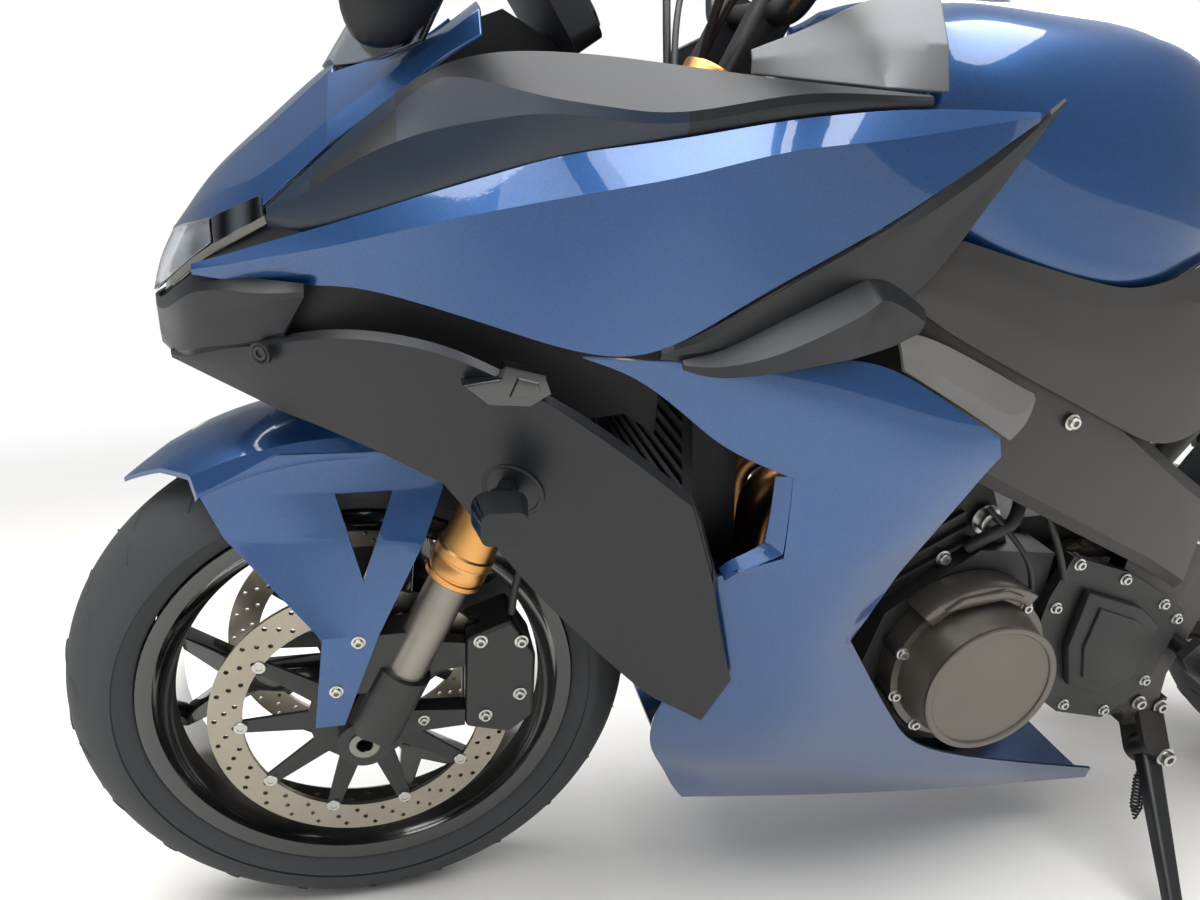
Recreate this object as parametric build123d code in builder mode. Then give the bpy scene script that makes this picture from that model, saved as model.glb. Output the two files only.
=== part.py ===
from build123d import *
import os
from math import asin, atan2, cos, hypot, pi, radians, sin, sqrt

os.makedirs("parts", exist_ok=True)

# The motorcycle is drawn upright: x runs back from the front axle, y to the rider's right,
# z up from the ground. At the end it is leaned over onto its side stand, on the left.

# Stance and steering geometry
lean_angle = 13.0
wheelbase = 1460.0
rake_angle = 25.0
axle_lead = 36.0
leg_setback = 4.5
fork_spacing = 107.0
running_gap = 0.3
joint_gap = 0.5

# Front wheel
front_tyre_radius = 300.0
front_tyre_width = 120.0
front_crown_radius = 62.0
front_rim_width = 89.0

# Rear wheel
rear_tyre_radius = 311.0
rear_tyre_width = 190.0
rear_crown_radius = 113.0
rear_rim_width = 152.0

# What both wheels share
bead_radius = 216.0
rim_wall = 6.0
rim_lip_height = 12.0
tyre_wall = 8.0
crown_runs = 4
hub_radius = 34.0
spoke_pairs = 3
spoke_thickness = 26.0
spoke_phase = 175.5

# Brakes
front_disc_radius = 155.0
front_disc_band = 33.0
front_disc_thickness = 5.0
front_disc_face = 76.0
rear_disc_radius = 120.0
rear_disc_band = 30.0
rear_disc_thickness = 5.0
rear_disc_face = 94.0
pad_gap = 3.0

# Axles
front_axle_radius = 12.5
front_axle_head = 15.5
front_axle_bore = 8.0
front_axle_end = 123.0
rear_axle_radius = 14.0
rear_axle_bore = 8.0
rear_axle_end = 166.0

# Fork
stanchion_radius = 21.5
gold_tube_radius = 27.0
gold_lip_radius = 29.0
gold_lip_height = 22.0
gold_tube_start = 202.0
gold_tube_end = 715.0
bracket_radius = 28.0
bracket_top = 90.0
bracket_inner_face = 82.0
bracket_foot = 14.0
ear_face = 84.0
ear_thickness = 16.0
caliper_front = 103.0
fender_leg_face = 122.0
lower_clamp_height = 505.0
upper_clamp_height = 668.0
clamp_thickness = 32.0
clamp_wall = 11.0
stem_radius = 15.0

# Handlebar
bar_radius = 11.0
grip_radius = 17.0
grip_length = 125.0
bar_half_width = 372.0

# Frame and swingarm
head_radius = 30.0
pivot_x = 872.0
pivot_z = 402.0
pivot_radius = 13.0

# Panels
skin = 4.0
seam = 0.3
tuck = skin + seam

plate_inner = 128.0
plate_thickness = 22.0
engine_half = 136.0
shock_top = 530.0
shock_bottom = 300.0

peg_plate = 174.0
pillion_plate = 130.0

rail_front_z = 754.7
rail_slope = 0.17
rail_radius = 13.0

# Chain drive
chain_pitch = 15.875
front_teeth = 17
rear_teeth = 44
chain_plane = 112.0
chain_width = 20.0
chain_height = 15.0
chain_waist = 10.0
output_x = 800.0
output_z = 424.0

# Side stand
stand_pivot_x = 946.0
stand_pivot_y = 168.0
stand_pivot_z = 205.0
stand_pin_radius = 6.0
stand_foot_x = 898.0
stand_foot_y = 312.0
stand_eye_radius = 17.0
stand_eye_thickness = 22.0
stand_foot_lift = 10.0

# Derived places
rake = radians(rake_angle)
lean = radians(lean_angle)
front_drop = front_crown_radius * (1 - cos(lean))
rear_drop = rear_crown_radius * (1 - cos(lean))
front_axle_z = front_tyre_radius
rear_axle_z = rear_tyre_radius + (rear_drop - front_drop) / cos(lean)
ground_offset = -front_drop

steer_plane = Plane(
    origin=(axle_lead * cos(rake), 0, front_axle_z - axle_lead * sin(rake)),
    x_dir=(cos(rake), 0, -sin(rake)),
    z_dir=(sin(rake), 0, cos(rake)),
)
leg_x = leg_setback - axle_lead
front_axis = Axis((0, 0, front_axle_z), (0, 1, 0))
rear_axis = Axis((wheelbase, 0, rear_axle_z), (0, 1, 0))
pieces = {}


def finish(piece, name):
    """Keep a finished piece under its node name."""
    piece.part.label = name
    pieces[name] = piece.part


def rail_z(x):
    """Height of the tail rails' middle line behind their bend."""
    return rail_front_z + (x - 1000) * rail_slope


def rail_top(x):
    """Height just above the tail rails, where the seats rest."""
    return rail_z(x) + rail_radius * sqrt(1 + rail_slope**2) + seam


def ground_height(half_width):
    """Height in the upright frame of the ground under the left side of the leaned machine."""
    return (ground_offset + half_width * sin(lean)) / cos(lean)


def side_skin(stations, wall=skin):
    """A thin side panel and its mirror image.

    Each station is (x, points), the points (half width, z) running down the outer face."""
    with BuildPart() as panel:
        for x, points in stations:
            outer = [(-w, z) for w, z in points]
            inner = [(-w + wall, z) for w, z in reversed(points)]
            with BuildSketch(Plane.YZ.offset(x)):
                with BuildLine():
                    Polyline(*outer, *inner, close=True)
                make_face()
        loft(ruled=True)
        mirror(about=Plane.XZ)
    return panel


def level_skin(stations, wall=skin):
    """A thin side panel and its mirror image, from level sections.

    Each station is (z, points), the points (x, half width) running back along the outer face."""
    with BuildPart() as panel:
        for z, points in stations:
            outer = [(x, -w) for x, w in points]
            inner = [(x, -w + wall) for x, w in reversed(points)]
            with BuildSketch(Plane.XY.offset(z)):
                with BuildLine():
                    Polyline(*outer, *inner, close=True)
                make_face()
        loft(ruled=True)
        mirror(about=Plane.XZ)
    return panel


def bridge_skin(stations, drop):
    """A shell right across the machine; each station is (x, points from the side to the middle)."""
    with BuildPart() as panel:
        for x, points in stations:
            left = [(-w, z) for w, z in points]
            right = [(w, z) for w, z in reversed(points) if w > 0]
            outer = left + right
            inner = [(y, z - drop) for y, z in reversed(outer)]
            with BuildSketch(Plane.YZ.offset(x)):
                with BuildLine():
                    Polyline(*outer, *inner, close=True)
                make_face()
        loft(ruled=True)
    return panel


def level_block(stations, back):
    """A solid nose block; each station is (z, points (x, half width) from the middle out, back x)."""
    with BuildPart() as block:
        for z, points in stations:
            left = [(x, -w) for x, w in reversed(points)]
            right = [(x, w) for x, w in points if w > 0]
            rear = [(x + back, y) for x, y in reversed(left + right)]
            with BuildSketch(Plane.XY.offset(z)):
                with BuildLine():
                    Polyline(*left, *right, *rear, close=True)
                make_face()
        loft(ruled=True)
    return block


def crowned_body(stations):
    """A solid body with an arched top; each station is (x, bottom, waist, shoulder, top z)."""
    with BuildPart() as body:
        for x, bottom, waist, shoulder, top in stations:
            with BuildSketch(Plane.YZ.offset(x)):
                with BuildLine():
                    Polyline(
                        (-shoulder[0], shoulder[1]),
                        (-waist[0], waist[1]),
                        (-bottom[0], bottom[1]),
                        bottom,
                        waist,
                        shoulder,
                    )
                    ThreePointArc(shoulder, (0, top), (-shoulder[0], shoulder[1]))
                make_face()
        loft(ruled=True)
    return body


# Tyres

def tyre(axis_x, axis_z, radius, width, crown, rim_width):
    """A hollow tyre turned about its axle, its crown in straight runs along an arc."""
    half = width / 2
    bead_out = rim_width / 2 - running_gap
    bead_in = bead_out - tyre_wall
    widths = [half * k / crown_runs for k in range(crown_runs, -crown_runs - 1, -1)]
    crown_line = [(y, axis_z + radius - crown + sqrt(crown**2 - y**2)) for y in widths]
    inner_line = [(-half + tyre_wall, crown_line[0][1]), (-half / 2, axis_z + radius - 2 * tyre_wall)]
    inner_line += [(-y, z) for y, z in reversed(inner_line)]
    bead_low = axis_z + bead_radius + running_gap
    bead_high = axis_z + bead_radius + rim_lip_height
    with BuildPart() as body:
        with BuildSketch(Plane.YZ.offset(axis_x)):
            with BuildLine():
                Polyline(
                    *crown_line,
                    (-bead_out, bead_high),
                    (-bead_out, bead_low),
                    (-bead_in, bead_low),
                    *inner_line,
                    (bead_in, bead_low),
                    (bead_out, bead_low),
                    (bead_out, bead_high),
                    close=True,
                )
            make_face()
        revolve(axis=Axis((axis_x, 0, axis_z), (0, 1, 0)))
    return body


front_tyre = tyre(
    0, front_axle_z, front_tyre_radius, front_tyre_width, front_crown_radius, front_rim_width
)
finish(front_tyre, "front_tyre")
rear_tyre = tyre(
    wheelbase, rear_axle_z, rear_tyre_radius, rear_tyre_width, rear_crown_radius, rear_rim_width
)
finish(rear_tyre, "rear_tyre")


# Cast rims with three forked spokes

def rim(axis_x, axis_z, rim_width, hub_half, bore, phase):
    """A cast wheel: drop-centre rim, three Y spokes and a bored hub."""
    half = rim_width / 2
    lip = bead_radius + rim_lip_height
    well = bead_radius - 17
    outline = [
        (half + 5, lip),
        (half, lip),
        (half, bead_radius),
        (half - 11, bead_radius - 1),
        (half * 0.5, well),
    ]
    inside = [
        (half * 0.5 + 2, well - rim_wall),
        (half - 9, bead_radius - 1 - rim_wall),
        (half + 3, bead_radius - rim_wall),
        (half + 5, lip - rim_wall),
    ]
    outer = [(-y, axis_z + r) for y, r in outline] + [(y, axis_z + r) for y, r in reversed(outline)]
    inner = [(y, axis_z + r) for y, r in reversed(inside)] + [(-y, axis_z + r) for y, r in inside]
    axis = Axis((axis_x, 0, axis_z), (0, 1, 0))
    side = Plane((axis_x, 0, axis_z), x_dir=(1, 0, 0), z_dir=(0, -1, 0))
    stem_end = 112.0
    rim_reach = well - rim_wall + 2
    arm_spread = 54.0
    with BuildPart() as wheel:
        with BuildSketch(Plane.YZ.offset(axis_x)):
            with BuildLine():
                Polyline(*outer, *inner, close=True)
            make_face()
        revolve(axis=axis)
        with BuildSketch(side) as spokes:
            with PolarLocations(0, spoke_pairs, start_angle=phase):
                Polygon(
                    (0, -22),
                    (stem_end, -15),
                    (rim_reach - 6, -arm_spread - 8),
                    (rim_reach - 10, -arm_spread + 12),
                    (stem_end + 26, 0),
                    (rim_reach - 10, arm_spread - 12),
                    (rim_reach - 6, arm_spread + 8),
                    (stem_end, 15),
                    (0, 22),
                    align=None,
                )
        extrude(amount=spoke_thickness / 2, both=True)
        with BuildSketch(side):
            Circle(hub_radius)
        extrude(amount=hub_half, both=True)
        with BuildSketch(side):
            Circle(bore)
        extrude(amount=hub_half + 1, both=True, mode=Mode.SUBTRACT)
    return wheel


front_hub_half = front_disc_face - front_disc_thickness - seam
front_rim = rim(
    0, front_axle_z, front_rim_width, front_hub_half, front_axle_radius + running_gap, spoke_phase
)
finish(front_rim, "front_rim")
rear_hub_half = rear_disc_face - rear_disc_thickness - seam
rear_rim = rim(
    wheelbase, rear_axle_z, rear_rim_width, rear_hub_half, rear_axle_radius + running_gap, 55.5
)
finish(rear_rim, "rear_rim")


# Brake discs

def disc(axis_x, axis_z, side_sign, face, thickness, radius, band, arms):
    """A disc band on a spider, its outer face at a half width, on one side of the wheel."""
    plane = Plane((axis_x, side_sign * face, axis_z), x_dir=(1, 0, 0), z_dir=(0, -1, 0))
    inward = side_sign * thickness
    with BuildPart() as plate:
        with BuildSketch(plane):
            Circle(radius)
            Circle(radius - band, mode=Mode.SUBTRACT)
        extrude(amount=inward)
        with BuildSketch(plane):
            Circle(62)
            with PolarLocations(0, arms):
                Polygon((50, -13), (radius - band + 4, -7), (radius - band + 4, 7), (50, 13), align=None)
            Circle(hub_radius - 8, mode=Mode.SUBTRACT)
        extrude(amount=inward)
    return plate


with BuildPart() as front_discs:
    for sign in (-1, 1):
        add(
            disc(
                0, front_axle_z, sign, front_disc_face, front_disc_thickness,
                front_disc_radius, front_disc_band, 6,
            ).part
        )
finish(front_discs, "front_discs")

rear_disc = disc(
    wheelbase, rear_axle_z, 1, rear_disc_face, rear_disc_thickness,
    rear_disc_radius, rear_disc_band, 5,
)
finish(rear_disc, "rear_disc")


# Chain drive on the left side: sprocket on the rear wheel, and a closed loop of chain

def pitch_radius(teeth):
    """Radius of the chain's pins on a sprocket."""
    return chain_pitch / (2 * sin(pi / teeth))


rear_pitch = pitch_radius(rear_teeth)
front_pitch = pitch_radius(front_teeth)

rear_side = Plane((wheelbase, -chain_plane, rear_axle_z), x_dir=(1, 0, 0), z_dir=(0, -1, 0))
with BuildPart() as rear_sprocket:
    with BuildSketch(rear_side):
        Circle(rear_pitch - chain_height / 2 - 0.5)
        Circle(hub_radius - 6, mode=Mode.SUBTRACT)
        with PolarLocations(rear_pitch * 0.66, 5):
            Circle(15, mode=Mode.SUBTRACT)
    extrude(amount=3.5, both=True)
    with BuildSketch(rear_side.offset(-3.5)):
        Circle(hub_radius + 12)
        Circle(hub_radius - 6, mode=Mode.SUBTRACT)
    extrude(amount=-(chain_plane - 3.5 - rear_hub_half - seam))
finish(rear_sprocket, "rear_sprocket")

chain_tilt = atan2(rear_axle_z - output_z, wheelbase - output_x)
chain_spread = asin((rear_pitch - front_pitch) / hypot(wheelbase - output_x, rear_axle_z - output_z))


def on_sprocket(centre_x, centre_z, radius, angle):
    """A point of a sprocket's circle at an angle from +x towards +z."""
    return (centre_x + radius * cos(angle), centre_z + radius * sin(angle))


def chain_loop(offset):
    """The chain's closed path about both sprockets, moved out by an offset."""
    front_r = front_pitch + offset
    rear_r = rear_pitch + offset
    up = pi / 2 + chain_tilt + chain_spread
    down = -pi / 2 + chain_tilt - chain_spread
    back = chain_tilt
    front = chain_tilt + pi
    with BuildLine() as path:
        Line(
            on_sprocket(output_x, output_z, front_r, up),
            on_sprocket(wheelbase, rear_axle_z, rear_r, up),
        )
        ThreePointArc(
            on_sprocket(wheelbase, rear_axle_z, rear_r, up),
            on_sprocket(wheelbase, rear_axle_z, rear_r, back),
            on_sprocket(wheelbase, rear_axle_z, rear_r, down),
        )
        Line(
            on_sprocket(wheelbase, rear_axle_z, rear_r, down),
            on_sprocket(output_x, output_z, front_r, down),
        )
        ThreePointArc(
            on_sprocket(output_x, output_z, front_r, down),
            on_sprocket(output_x, output_z, front_r, front),
            on_sprocket(output_x, output_z, front_r, up),
        )
    return path.line


def link_outline(pin_reach, waist_reach):
    """Points round the chain's path, out at each pin and in at each link's waist."""
    path = Wire(chain_loop(0).edges())
    links = 2 * round(path.length / chain_pitch / 2)
    points = []
    for half_step in range(2 * links):
        share = half_step / (2 * links)
        place = path @ share
        along = path % share
        reach = pin_reach if half_step % 2 == 0 else waist_reach
        points.append((place.X - along.Y * reach, place.Y + along.X * reach))
    return points


chain_side = Plane((0, -chain_plane, 0), x_dir=(1, 0, 0), z_dir=(0, -1, 0))
with BuildPart() as chain:
    with BuildSketch(chain_side):
        Polygon(*link_outline(chain_height / 2, chain_waist / 2), align=None)
        Polygon(*link_outline(-chain_height / 2, -chain_waist / 2), align=None, mode=Mode.SUBTRACT)
    extrude(amount=chain_width / 2, both=True)
finish(chain, "chain")


# Fork: gold outer tubes above, bright stanchions and black axle brackets below

with BuildPart() as fork_tubes:
    for sign in (-1, 1):
        with BuildSketch(steer_plane.offset(gold_tube_start)):
            with Locations((leg_x, sign * fork_spacing)):
                Circle(gold_lip_radius)
                Circle(stanchion_radius + running_gap, mode=Mode.SUBTRACT)
        extrude(amount=gold_lip_height)
        with BuildSketch(steer_plane.offset(gold_tube_start + gold_lip_height)):
            with Locations((leg_x, sign * fork_spacing)):
                Circle(gold_tube_radius)
        extrude(amount=gold_tube_end - gold_tube_start - gold_lip_height)
finish(fork_tubes, "fork_tubes")

axle_plane = Plane((0, 0, front_axle_z), x_dir=(1, 0, 0), z_dir=(0, -1, 0))
with BuildPart() as fork_legs:
    for sign in (-1, 1):
        with BuildSketch(steer_plane.offset(bracket_top)):
            with Locations((leg_x, sign * fork_spacing)):
                Circle(stanchion_radius)
        extrude(amount=gold_tube_start + gold_lip_height - bracket_top - running_gap)
        with BuildSketch(steer_plane.offset(bracket_foot)):
            with Locations((leg_x, sign * fork_spacing)):
                Circle(bracket_radius)
        extrude(amount=bracket_top - bracket_foot)
        with BuildSketch(axle_plane.offset(sign * ear_face)):
            Polygon((46, 62), (62, 104), (caliper_front - seam, 98), (caliper_front - seam, 70), align=None)
            Polygon((14, -10), (26, 22), (caliper_front - seam, 14), (caliper_front - seam, -6), align=None)
        extrude(amount=sign * ear_thickness)
        with BuildSketch(axle_plane.offset(sign * ear_face)):
            Polygon((-34, 62), (-12, 128), (48, 128), (62, 118), (34, 60), align=None)
        extrude(amount=sign * (fender_leg_face - skin - seam - ear_face))
    with BuildSketch(axle_plane):
        Circle(bracket_radius - 1)
    extrude(amount=front_axle_end - 2, both=True)
    with BuildSketch(axle_plane):
        Circle(bracket_radius + 200)
    extrude(amount=bracket_inner_face, both=True, mode=Mode.SUBTRACT)
    with BuildSketch(axle_plane):
        Circle(front_axle_head + running_gap)
    extrude(amount=fork_spacing + bracket_radius + 1, both=True, mode=Mode.SUBTRACT)
finish(fork_legs, "fork_legs")

with BuildPart() as front_axle:
    with BuildSketch(axle_plane):
        Circle(front_axle_radius)
    extrude(amount=front_axle_end, both=True)
    for sign in (-1, 1):
        with BuildSketch(axle_plane.offset(sign * (bracket_inner_face))):
            Circle(front_axle_head)
        extrude(amount=sign * (front_axle_end - bracket_inner_face))
    with BuildSketch(axle_plane):
        Circle(front_axle_bore)
    extrude(amount=front_axle_end, both=True, mode=Mode.SUBTRACT)
finish(front_axle, "front_axle")

# Triple clamps with the steering stem

with BuildPart() as triple_clamps:
    for height, depth in ((lower_clamp_height, clamp_thickness), (upper_clamp_height, 24.0)):
        with BuildSketch(steer_plane.offset(height)):
            with BuildLine():
                Polyline(
                    (leg_x - 10, -fork_spacing - 20),
                    (leg_x - 10, fork_spacing + 20),
                    (leg_x + 20, fork_spacing + 20),
                    (36, 45),
                    (36, -45),
                    (leg_x + 20, -fork_spacing - 20),
                    close=True,
                )
            make_face()
            with Locations((leg_x, -fork_spacing), (leg_x, fork_spacing)):
                Circle(gold_tube_radius + clamp_wall)
        extrude(amount=depth)
        with BuildSketch(steer_plane.offset(height - 1)):
            with Locations((leg_x, -fork_spacing), (leg_x, fork_spacing)):
                Circle(gold_tube_radius + seam)
        extrude(amount=depth + 2, mode=Mode.SUBTRACT)
    with BuildSketch(steer_plane.offset(lower_clamp_height)):
        Circle(stem_radius)
    extrude(amount=upper_clamp_height - lower_clamp_height + 36)
finish(triple_clamps, "triple_clamps")

# Handlebar on risers: a bent tube, with grips, bar ends, switch pods and levers

bar_local_x = 8.0
bar_height = 790.0
bar_rise = 76.0
bar_pullback = 66.0
riser_spacing = 46.0
pod_length = 34.0
bar_middle = steer_plane.from_local_coords((bar_local_x, 0, bar_height))


def bar_point(back, half_width, up):
    """A point of the bar measured from its middle."""
    return Vector(bar_middle.X + back, half_width, bar_middle.Z + up)


with BuildPart() as handlebar:
    bar_route = [
        bar_point(bar_pullback, -bar_half_width, bar_rise - 8),
        bar_point(18, -170, bar_rise),
        bar_point(0, -92, 0),
        bar_point(0, 92, 0),
        bar_point(18, 170, bar_rise),
        bar_point(bar_pullback, bar_half_width, bar_rise - 8),
    ]
    with BuildLine() as bar_path:
        FilletPolyline(*bar_route, radius=34)
    with BuildSketch(Plane(bar_path.line @ 0, z_dir=bar_path.line % 0)):
        Circle(bar_radius)
    sweep()
    for sign in (-1, 1):
        tip = bar_point(bar_pullback, sign * bar_half_width, bar_rise - 8)
        root = bar_point(18, sign * 170, bar_rise)
        along = (tip - root).normalized()
        grip_start = tip - along * grip_length
        with BuildSketch(Plane(grip_start, z_dir=along)):
            Circle(grip_radius)
        extrude(amount=grip_length)
        with BuildSketch(Plane(tip, z_dir=along)):
            Circle(grip_radius - 2)
        extrude(amount=22)
        with BuildSketch(Plane(grip_start - along * (pod_length + 4), x_dir=(1, 0, 0), z_dir=along)):
            RectangleRounded(48, 44, 9)
        extrude(amount=pod_length)
        lever_root = grip_start - along * 30 + Vector(-34, 0, -2)
        lever_tip = tip - along * 12 + Vector(-62, 0, -6)
        with BuildLine() as lever_path:
            Line(lever_root, lever_tip)
        with BuildSketch(Plane(lever_root, z_dir=lever_path.line % 0)):
            RectangleRounded(14, 12, 4)
        sweep(path=lever_path.line)
        lever_hold = grip_start - along * 24
        with BuildLine() as hold_path:
            Line(lever_hold, lever_root)
        with BuildSketch(Plane(lever_hold, z_dir=hold_path.line % 0)):
            RectangleRounded(22, 18, 5)
        sweep(path=hold_path.line)
    with BuildSketch(steer_plane.offset(upper_clamp_height + 24)):
        with Locations((bar_local_x, riser_spacing), (bar_local_x, -riser_spacing)):
            RectangleRounded(38, 26, 8)
    extrude(amount=bar_height + bar_radius + 7 - upper_clamp_height - 24)
finish(handlebar, "handlebar")

# Front calipers, radial, each on the ears behind its leg

with BuildPart() as front_calipers:
    for sign in (-1, 1):
        with BuildSketch(axle_plane.offset(sign * 44)):
            Polygon(
                (caliper_front, -8), (150, -22), (176, 0), (176, 78), (150, 122), (caliper_front, 104),
                align=None,
            )
        extrude(amount=sign * 58)
        with BuildSketch(axle_plane.offset(sign * (front_disc_face - front_disc_thickness - pad_gap))):
            Circle(front_disc_radius + 6)
        extrude(amount=sign * (front_disc_thickness + 2 * pad_gap), mode=Mode.SUBTRACT)
finish(front_calipers, "front_calipers")

# Front fender: an arch over the tyre and a leg each side down to the fork bracket

fender_inner = front_tyre_radius + 14
fender_half = 76.0
fender_front = 42.0
fender_sweep = 90.0
fender_wall = 3.5
fender_section = [(fender_half, -18), (fender_half - 7, 1), (40, 13), (0, 18)]
fender_plane = Plane(
    origin=(0, 0, front_axle_z),
    x_dir=(0, 1, 0),
    z_dir=(cos(radians(fender_front)), 0, sin(radians(fender_front))),
)
fender_legs = level_skin(
    [
        (602, [(-66, 75), (86, 75)]),
        (566, [(-136, 75), (82, 86)]),
        (522, [(-118, 79), (63, 108)]),
        (430, [(-34, fender_leg_face), (18, fender_leg_face)]),
        (328, [(-46, fender_leg_face), (-18, fender_leg_face)]),
    ],
    wall=fender_wall,
)
with BuildPart() as front_fender:
    outer = [(-w, fender_inner + r) for w, r in fender_section]
    outer += [(w, fender_inner + r) for w, r in reversed(fender_section) if w > 0]
    inner = [(y * (1 - fender_wall / fender_half), r - fender_wall) for y, r in reversed(outer)]
    with BuildSketch(fender_plane):
        with BuildLine():
            Polyline(*outer, *inner, close=True)
        make_face()
    revolve(axis=front_axis, revolution_arc=fender_sweep)
    with BuildSketch(Plane.XY.offset(400)):
        for sign in (-1, 1):
            Polygon((-216, 0), (-146, sign * 64), (-118, sign * 100), (-300, sign * 100), (-300, 0), align=None)
    extrude(amount=300, mode=Mode.SUBTRACT)
    add(fender_legs.part)
    with BuildSketch(Plane.XZ):
        Polygon((-17, 564), (36, 566), (6, 484), align=None)
    extrude(amount=200, both=True, mode=Mode.SUBTRACT)
finish(front_fender, "front_fender")

# Side stand, down: a leg from its tilted pin to a foot plate on the ground

stand_pin = Vector(stand_pivot_x, -stand_pivot_y, stand_pivot_z)
stand_foot = Vector(stand_foot_x, -stand_foot_y, ground_height(stand_foot_y) + stand_foot_lift)
stand_down = stand_foot - stand_pin
stand_along = stand_down.normalized()
stand_up = Vector(196, -46, -28)
stand_axis = stand_up.cross(stand_down).normalized()
stand_eye_plane = Plane(stand_pin, x_dir=stand_along, z_dir=stand_axis)
ground_plane = Plane(
    origin=(stand_foot_x, -stand_foot_y, ground_height(stand_foot_y)),
    x_dir=(1, 0, 0),
    z_dir=(0, sin(lean), cos(lean)),
)
with BuildPart() as side_stand:
    with BuildSketch(Plane(stand_pin + stand_along * 12, x_dir=stand_axis, z_dir=stand_along)):
        RectangleRounded(stand_eye_thickness, 26, 6)
    with BuildSketch(Plane(stand_foot, x_dir=stand_axis, z_dir=stand_along)):
        RectangleRounded(16, 18, 5)
    loft()
    with BuildSketch(stand_eye_plane):
        Circle(stand_eye_radius)
    extrude(amount=stand_eye_thickness / 2, both=True)
    with BuildSketch(ground_plane):
        SlotOverall(86, 46)
    extrude(amount=stand_foot_lift - 1)
    with BuildSketch(stand_eye_plane):
        Circle(stand_pin_radius + running_gap)
    extrude(amount=stand_eye_thickness, both=True, mode=Mode.SUBTRACT)
finish(side_stand, "side_stand")

# Frame: twin spars from the steering head to the swingarm plates, and the tube rails behind

head_low = steer_plane.from_local_coords((0, 0, lower_clamp_height + clamp_thickness))
head_high = steer_plane.from_local_coords((0, 0, upper_clamp_height))
# Each row is x, (inner, outer half width), (low z, high z)
spar_stations = [
    (head_low.X + 28, (12, 46), (head_high.Z - 52, head_high.Z - 2)),
    (head_low.X + 94, (24, 64), (head_high.Z - 138, head_high.Z - 22)),
    (head_low.X + 126, (62, 98), (head_high.Z - 172, head_high.Z - 32)),
    (424, (134, 166), (690, 848)),
    (520, (168, 196), (630, 790)),
    (690, (170, 200), (548, 690)),
    (830, (150, 188), (480, 600)),
    (900, (140, 176), (440, 560)),
]
head_plane = steer_plane.offset(lower_clamp_height + clamp_thickness + joint_gap)
head_height = upper_clamp_height - lower_clamp_height - clamp_thickness - 2 * joint_gap
with BuildPart() as frame:
    for x, (near, far), (low, high) in spar_stations:
        with BuildSketch(Plane.YZ.offset(x)):
            Polygon(
                (-near, low), (-near, high), (-far + 8, high), (-far, high - 14), (-far, low + 14),
                (-far + 8, low), align=None,
            )
    loft(ruled=True)
    mirror(about=Plane.XZ)
    for sign in (-1, 1):
        with BuildSketch(Plane.XZ.offset(-sign * plate_inner)):
            Polygon(
                (850, 575), (960, 520), (985, 410), (960, 300), (965, 246), (880, 246), (846, 330),
                (840, 430), align=None,
            )
            with Locations((pivot_x, pivot_z)):
                Circle(pivot_radius + running_gap, mode=Mode.SUBTRACT)
        extrude(amount=-sign * plate_thickness)
        with BuildSketch(Plane.XZ.offset(-sign * (engine_half + seam))):
            with Locations((600, 640)):
                Circle(18)
        extrude(amount=-sign * (174 - engine_half - seam))
        with BuildSketch(Plane.XZ.offset(-sign * 104)):
            with Locations((1172, 694)):
                Circle(9)
        extrude(amount=-sign * (pillion_plate - seam - 104))
        with BuildSketch(Plane.XY.offset(770)):
            with Locations((540, sign * 180)):
                Circle(12)
        extrude(amount=816.8 - 770)
    with BuildSketch(Plane.XZ):
        for x, z, wide, tall in ((905, 512, 36, 56), (922, 268, 44, 40)):
            with Locations((x, z)):
                Rectangle(wide, tall)
    extrude(amount=plate_inner + 2, both=True)
    with BuildSketch(Plane.XZ):
        Polygon((887, 500), (887, 556), (990, 556), (990, shock_top + seam), (923, shock_top + seam), align=None)
    extrude(amount=22, both=True)
    for offset, thick in ((-stand_eye_thickness / 2 - joint_gap, -9), (stand_eye_thickness / 2 + joint_gap, 7)):
        with BuildSketch(stand_eye_plane.offset(offset)):
            Circle(stand_eye_radius)
            with Locations((-20, 0)):
                Rectangle(40, 2 * stand_eye_radius)
        extrude(amount=thick)
    with BuildSketch(stand_eye_plane):
        Circle(stand_pin_radius)
    extrude(amount=stand_eye_thickness / 2 + 8, both=True)
    with BuildSketch(Plane.XZ.offset(plate_inner)):
        Polygon((912, 262), (976, 262), (974, 226), (920, 226), align=None)
    extrude(amount=plate_thickness)
    with BuildSketch(head_plane):
        Circle(head_radius)
    extrude(amount=head_height)
    with BuildSketch(head_plane.offset(-1)):
        Circle(stem_radius + joint_gap)
    extrude(amount=head_height + 2, mode=Mode.SUBTRACT)
    for sign in (-1, 1):
        for route in (
            [(850, sign * 140, 590), (1000, sign * 112, rail_z(1000)), (1560, sign * 62, rail_z(1560))],
            [(940, sign * 140, 500), (1120, sign * 118, 660), (1300, sign * 92, 790)],
        ):
            with BuildLine() as rail:
                FilletPolyline(*route, radius=60)
            with BuildSketch(Plane(rail.line @ 0, z_dir=rail.line % 0)):
                Circle(rail_radius)
            sweep(path=rail.line)
    with BuildSketch(Plane.XZ):
        with Locations((1240, 790)):
            Circle(10)
    extrude(amount=98, both=True)
    with BuildSketch(Plane.XZ):
        with Locations((1540, 846)):
            Circle(10)
    extrude(amount=80, both=True)
finish(frame, "frame")

# Engine: one closed block, cylinders leaning forward, with the covers on its ends

crank_x = 638.0
crank_z = 372.0
case_half = 156.0
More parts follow.
